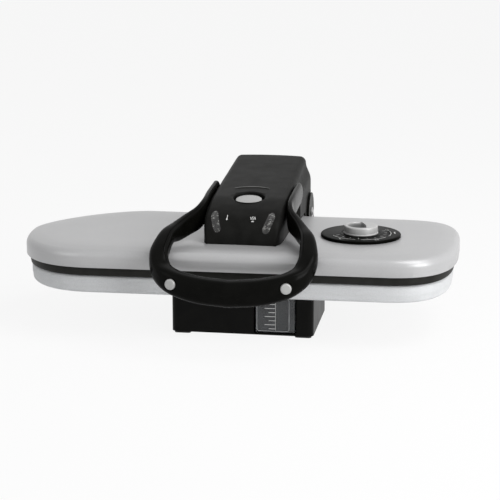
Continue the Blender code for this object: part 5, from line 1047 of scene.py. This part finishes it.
def printed(outline):
    """A low plate on the disc: an outline in plan, from just inside the disc to a hair above it."""
    outline = np.asarray(outline) + DIAL_CENTRE[:2]
    return capped(np.array([levelled(outline, z) for z in (DISC_TOP - 0.0001, DISC_TOP + 0.00008)]))


def printed_bar(start, end, turn, width):
    """A short radial stroke: from start to end along the turn, half its width to each side."""
    along = np.array([math.cos(turn), math.sin(turn)])
    across = np.array([-along[1], along[0]]) * width / 2
    return printed([along * start - across, along * end - across, along * end + across, along * start + across])


def printed_arc(radius, start, end, width):
    """A stroke that follows a circle: out at radius + width / 2 and back at radius - width / 2."""
    turn = np.linspace(start, end, 24)
    return printed(np.vstack([polar(radius + width / 2, turn), polar(radius - width / 2, turn[::-1])]))


def printed_dot(radius, turn, size):
    """A round dot: a small circle about the point at a radius and a turn."""
    a = np.linspace(0, 2 * np.pi, 16, endpoint=False)
    return printed(polar(size, a) + polar(radius, np.array(turn)))


# ---- Water tank


def rounded_plan(low, high, radius):
    """Plan points of a rectangle with round corners: a quarter circle about a point one radius in from each."""
    centres = ((high[0], high[1], 0), (low[0], high[1], 90), (low[0], low[1], 180), (high[0], low[1], 270))
    points = []
    for x, y, first in centres:
        inward = np.array([x, y]) - radius * np.sign([x, y] - (low + high) / 2)
        points.append(inward + polar(radius, np.radians(first + np.linspace(0, 90, 8))))
    return np.vstack(points)


def tank():
    """Clear tank: rounded rectangles carried up its outside and down its inside, with its scale on the front."""
    low, high = np.array([TANK_LEFT_X, TANK_FRONT_Y]), np.array([TANK_RIGHT_X, TANK_BACK_Y])
    outer = rounded_plan(low, high, TANK_ROUNDING)
    inner = rounded_plan(low + TANK_WALL, high - TANK_WALL, TANK_ROUNDING - TANK_WALL)
    middle = (low + high) / 2
    steps = [
        (middle + (outer - middle) * 0.97, TANK_BOTTOM),
        (outer, TANK_BOTTOM + 0.0012),
        (outer, TANK_TOP - 0.0004),
        (middle + (outer - middle) * 0.995, TANK_TOP),
        (middle + (inner - middle) * 1.004, TANK_TOP),
        (inner, TANK_TOP - 0.0004),
        (inner, TANK_BOTTOM + TANK_WALL + 0.0015),
        (middle + (inner - middle) * 0.97, TANK_BOTTOM + TANK_WALL),
    ]
    box = piece("tank_shell", [capped(np.array([levelled(*step) for step in steps]))], "tank", "smoky_clear")
    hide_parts("water_tank")

    strokes = []
    for i, z in enumerate(np.linspace(*SCALE_LEVELS)):
        strokes.append(scale_bar((SCALE_STARTS[i % 2], z - 0.0004), (SCALE_END, z + 0.0004)))
    strokes.append(scale_bar(*SCALE_LINE))
    low, high = np.array(BEAD_LOW), np.array(BEAD_HIGH)
    bead = []
    for inset, proud in ((0.0, -0.0001), (0.0002, 0.0003), (0.0005, 0.0004), (0.0008, 0.0003), (0.001, -0.0001)):
        ring = rounded_plan(low + inset, high - inset, TANK_ROUNDING - inset)
        bead.append(levelled(ring, TANK_FRONT_Y - proud)[:, [0, 2, 1]])
    # The bead's pale finish is a painted highlight.
    piece("tank_bead", [np.array(bead)], "tank", "smoky_clear", look=EDGE, wraps=(True, True))
    piece("tank_scale", strokes, "tank", "silver_trim", look=PRINT)


def scale_bar(low, high):
    """A flat stroke on the tank's front: its four corners, from just inside the front to just before it."""
    outline = [low, (high[0], low[1]), high, (low[0], high[1])]
    return capped(np.array([levelled(outline, TANK_FRONT_Y + y)[:, [0, 2, 1]] for y in (0.0001, -0.0001)]))


shell_of_platen()
skirt_of_platen()
pad_of_board()
skin = hood()
hood_details(skin)
steam_button()
handle()
dial()
tank()


bpy.context.scene.view_settings.view_transform = "Standard"
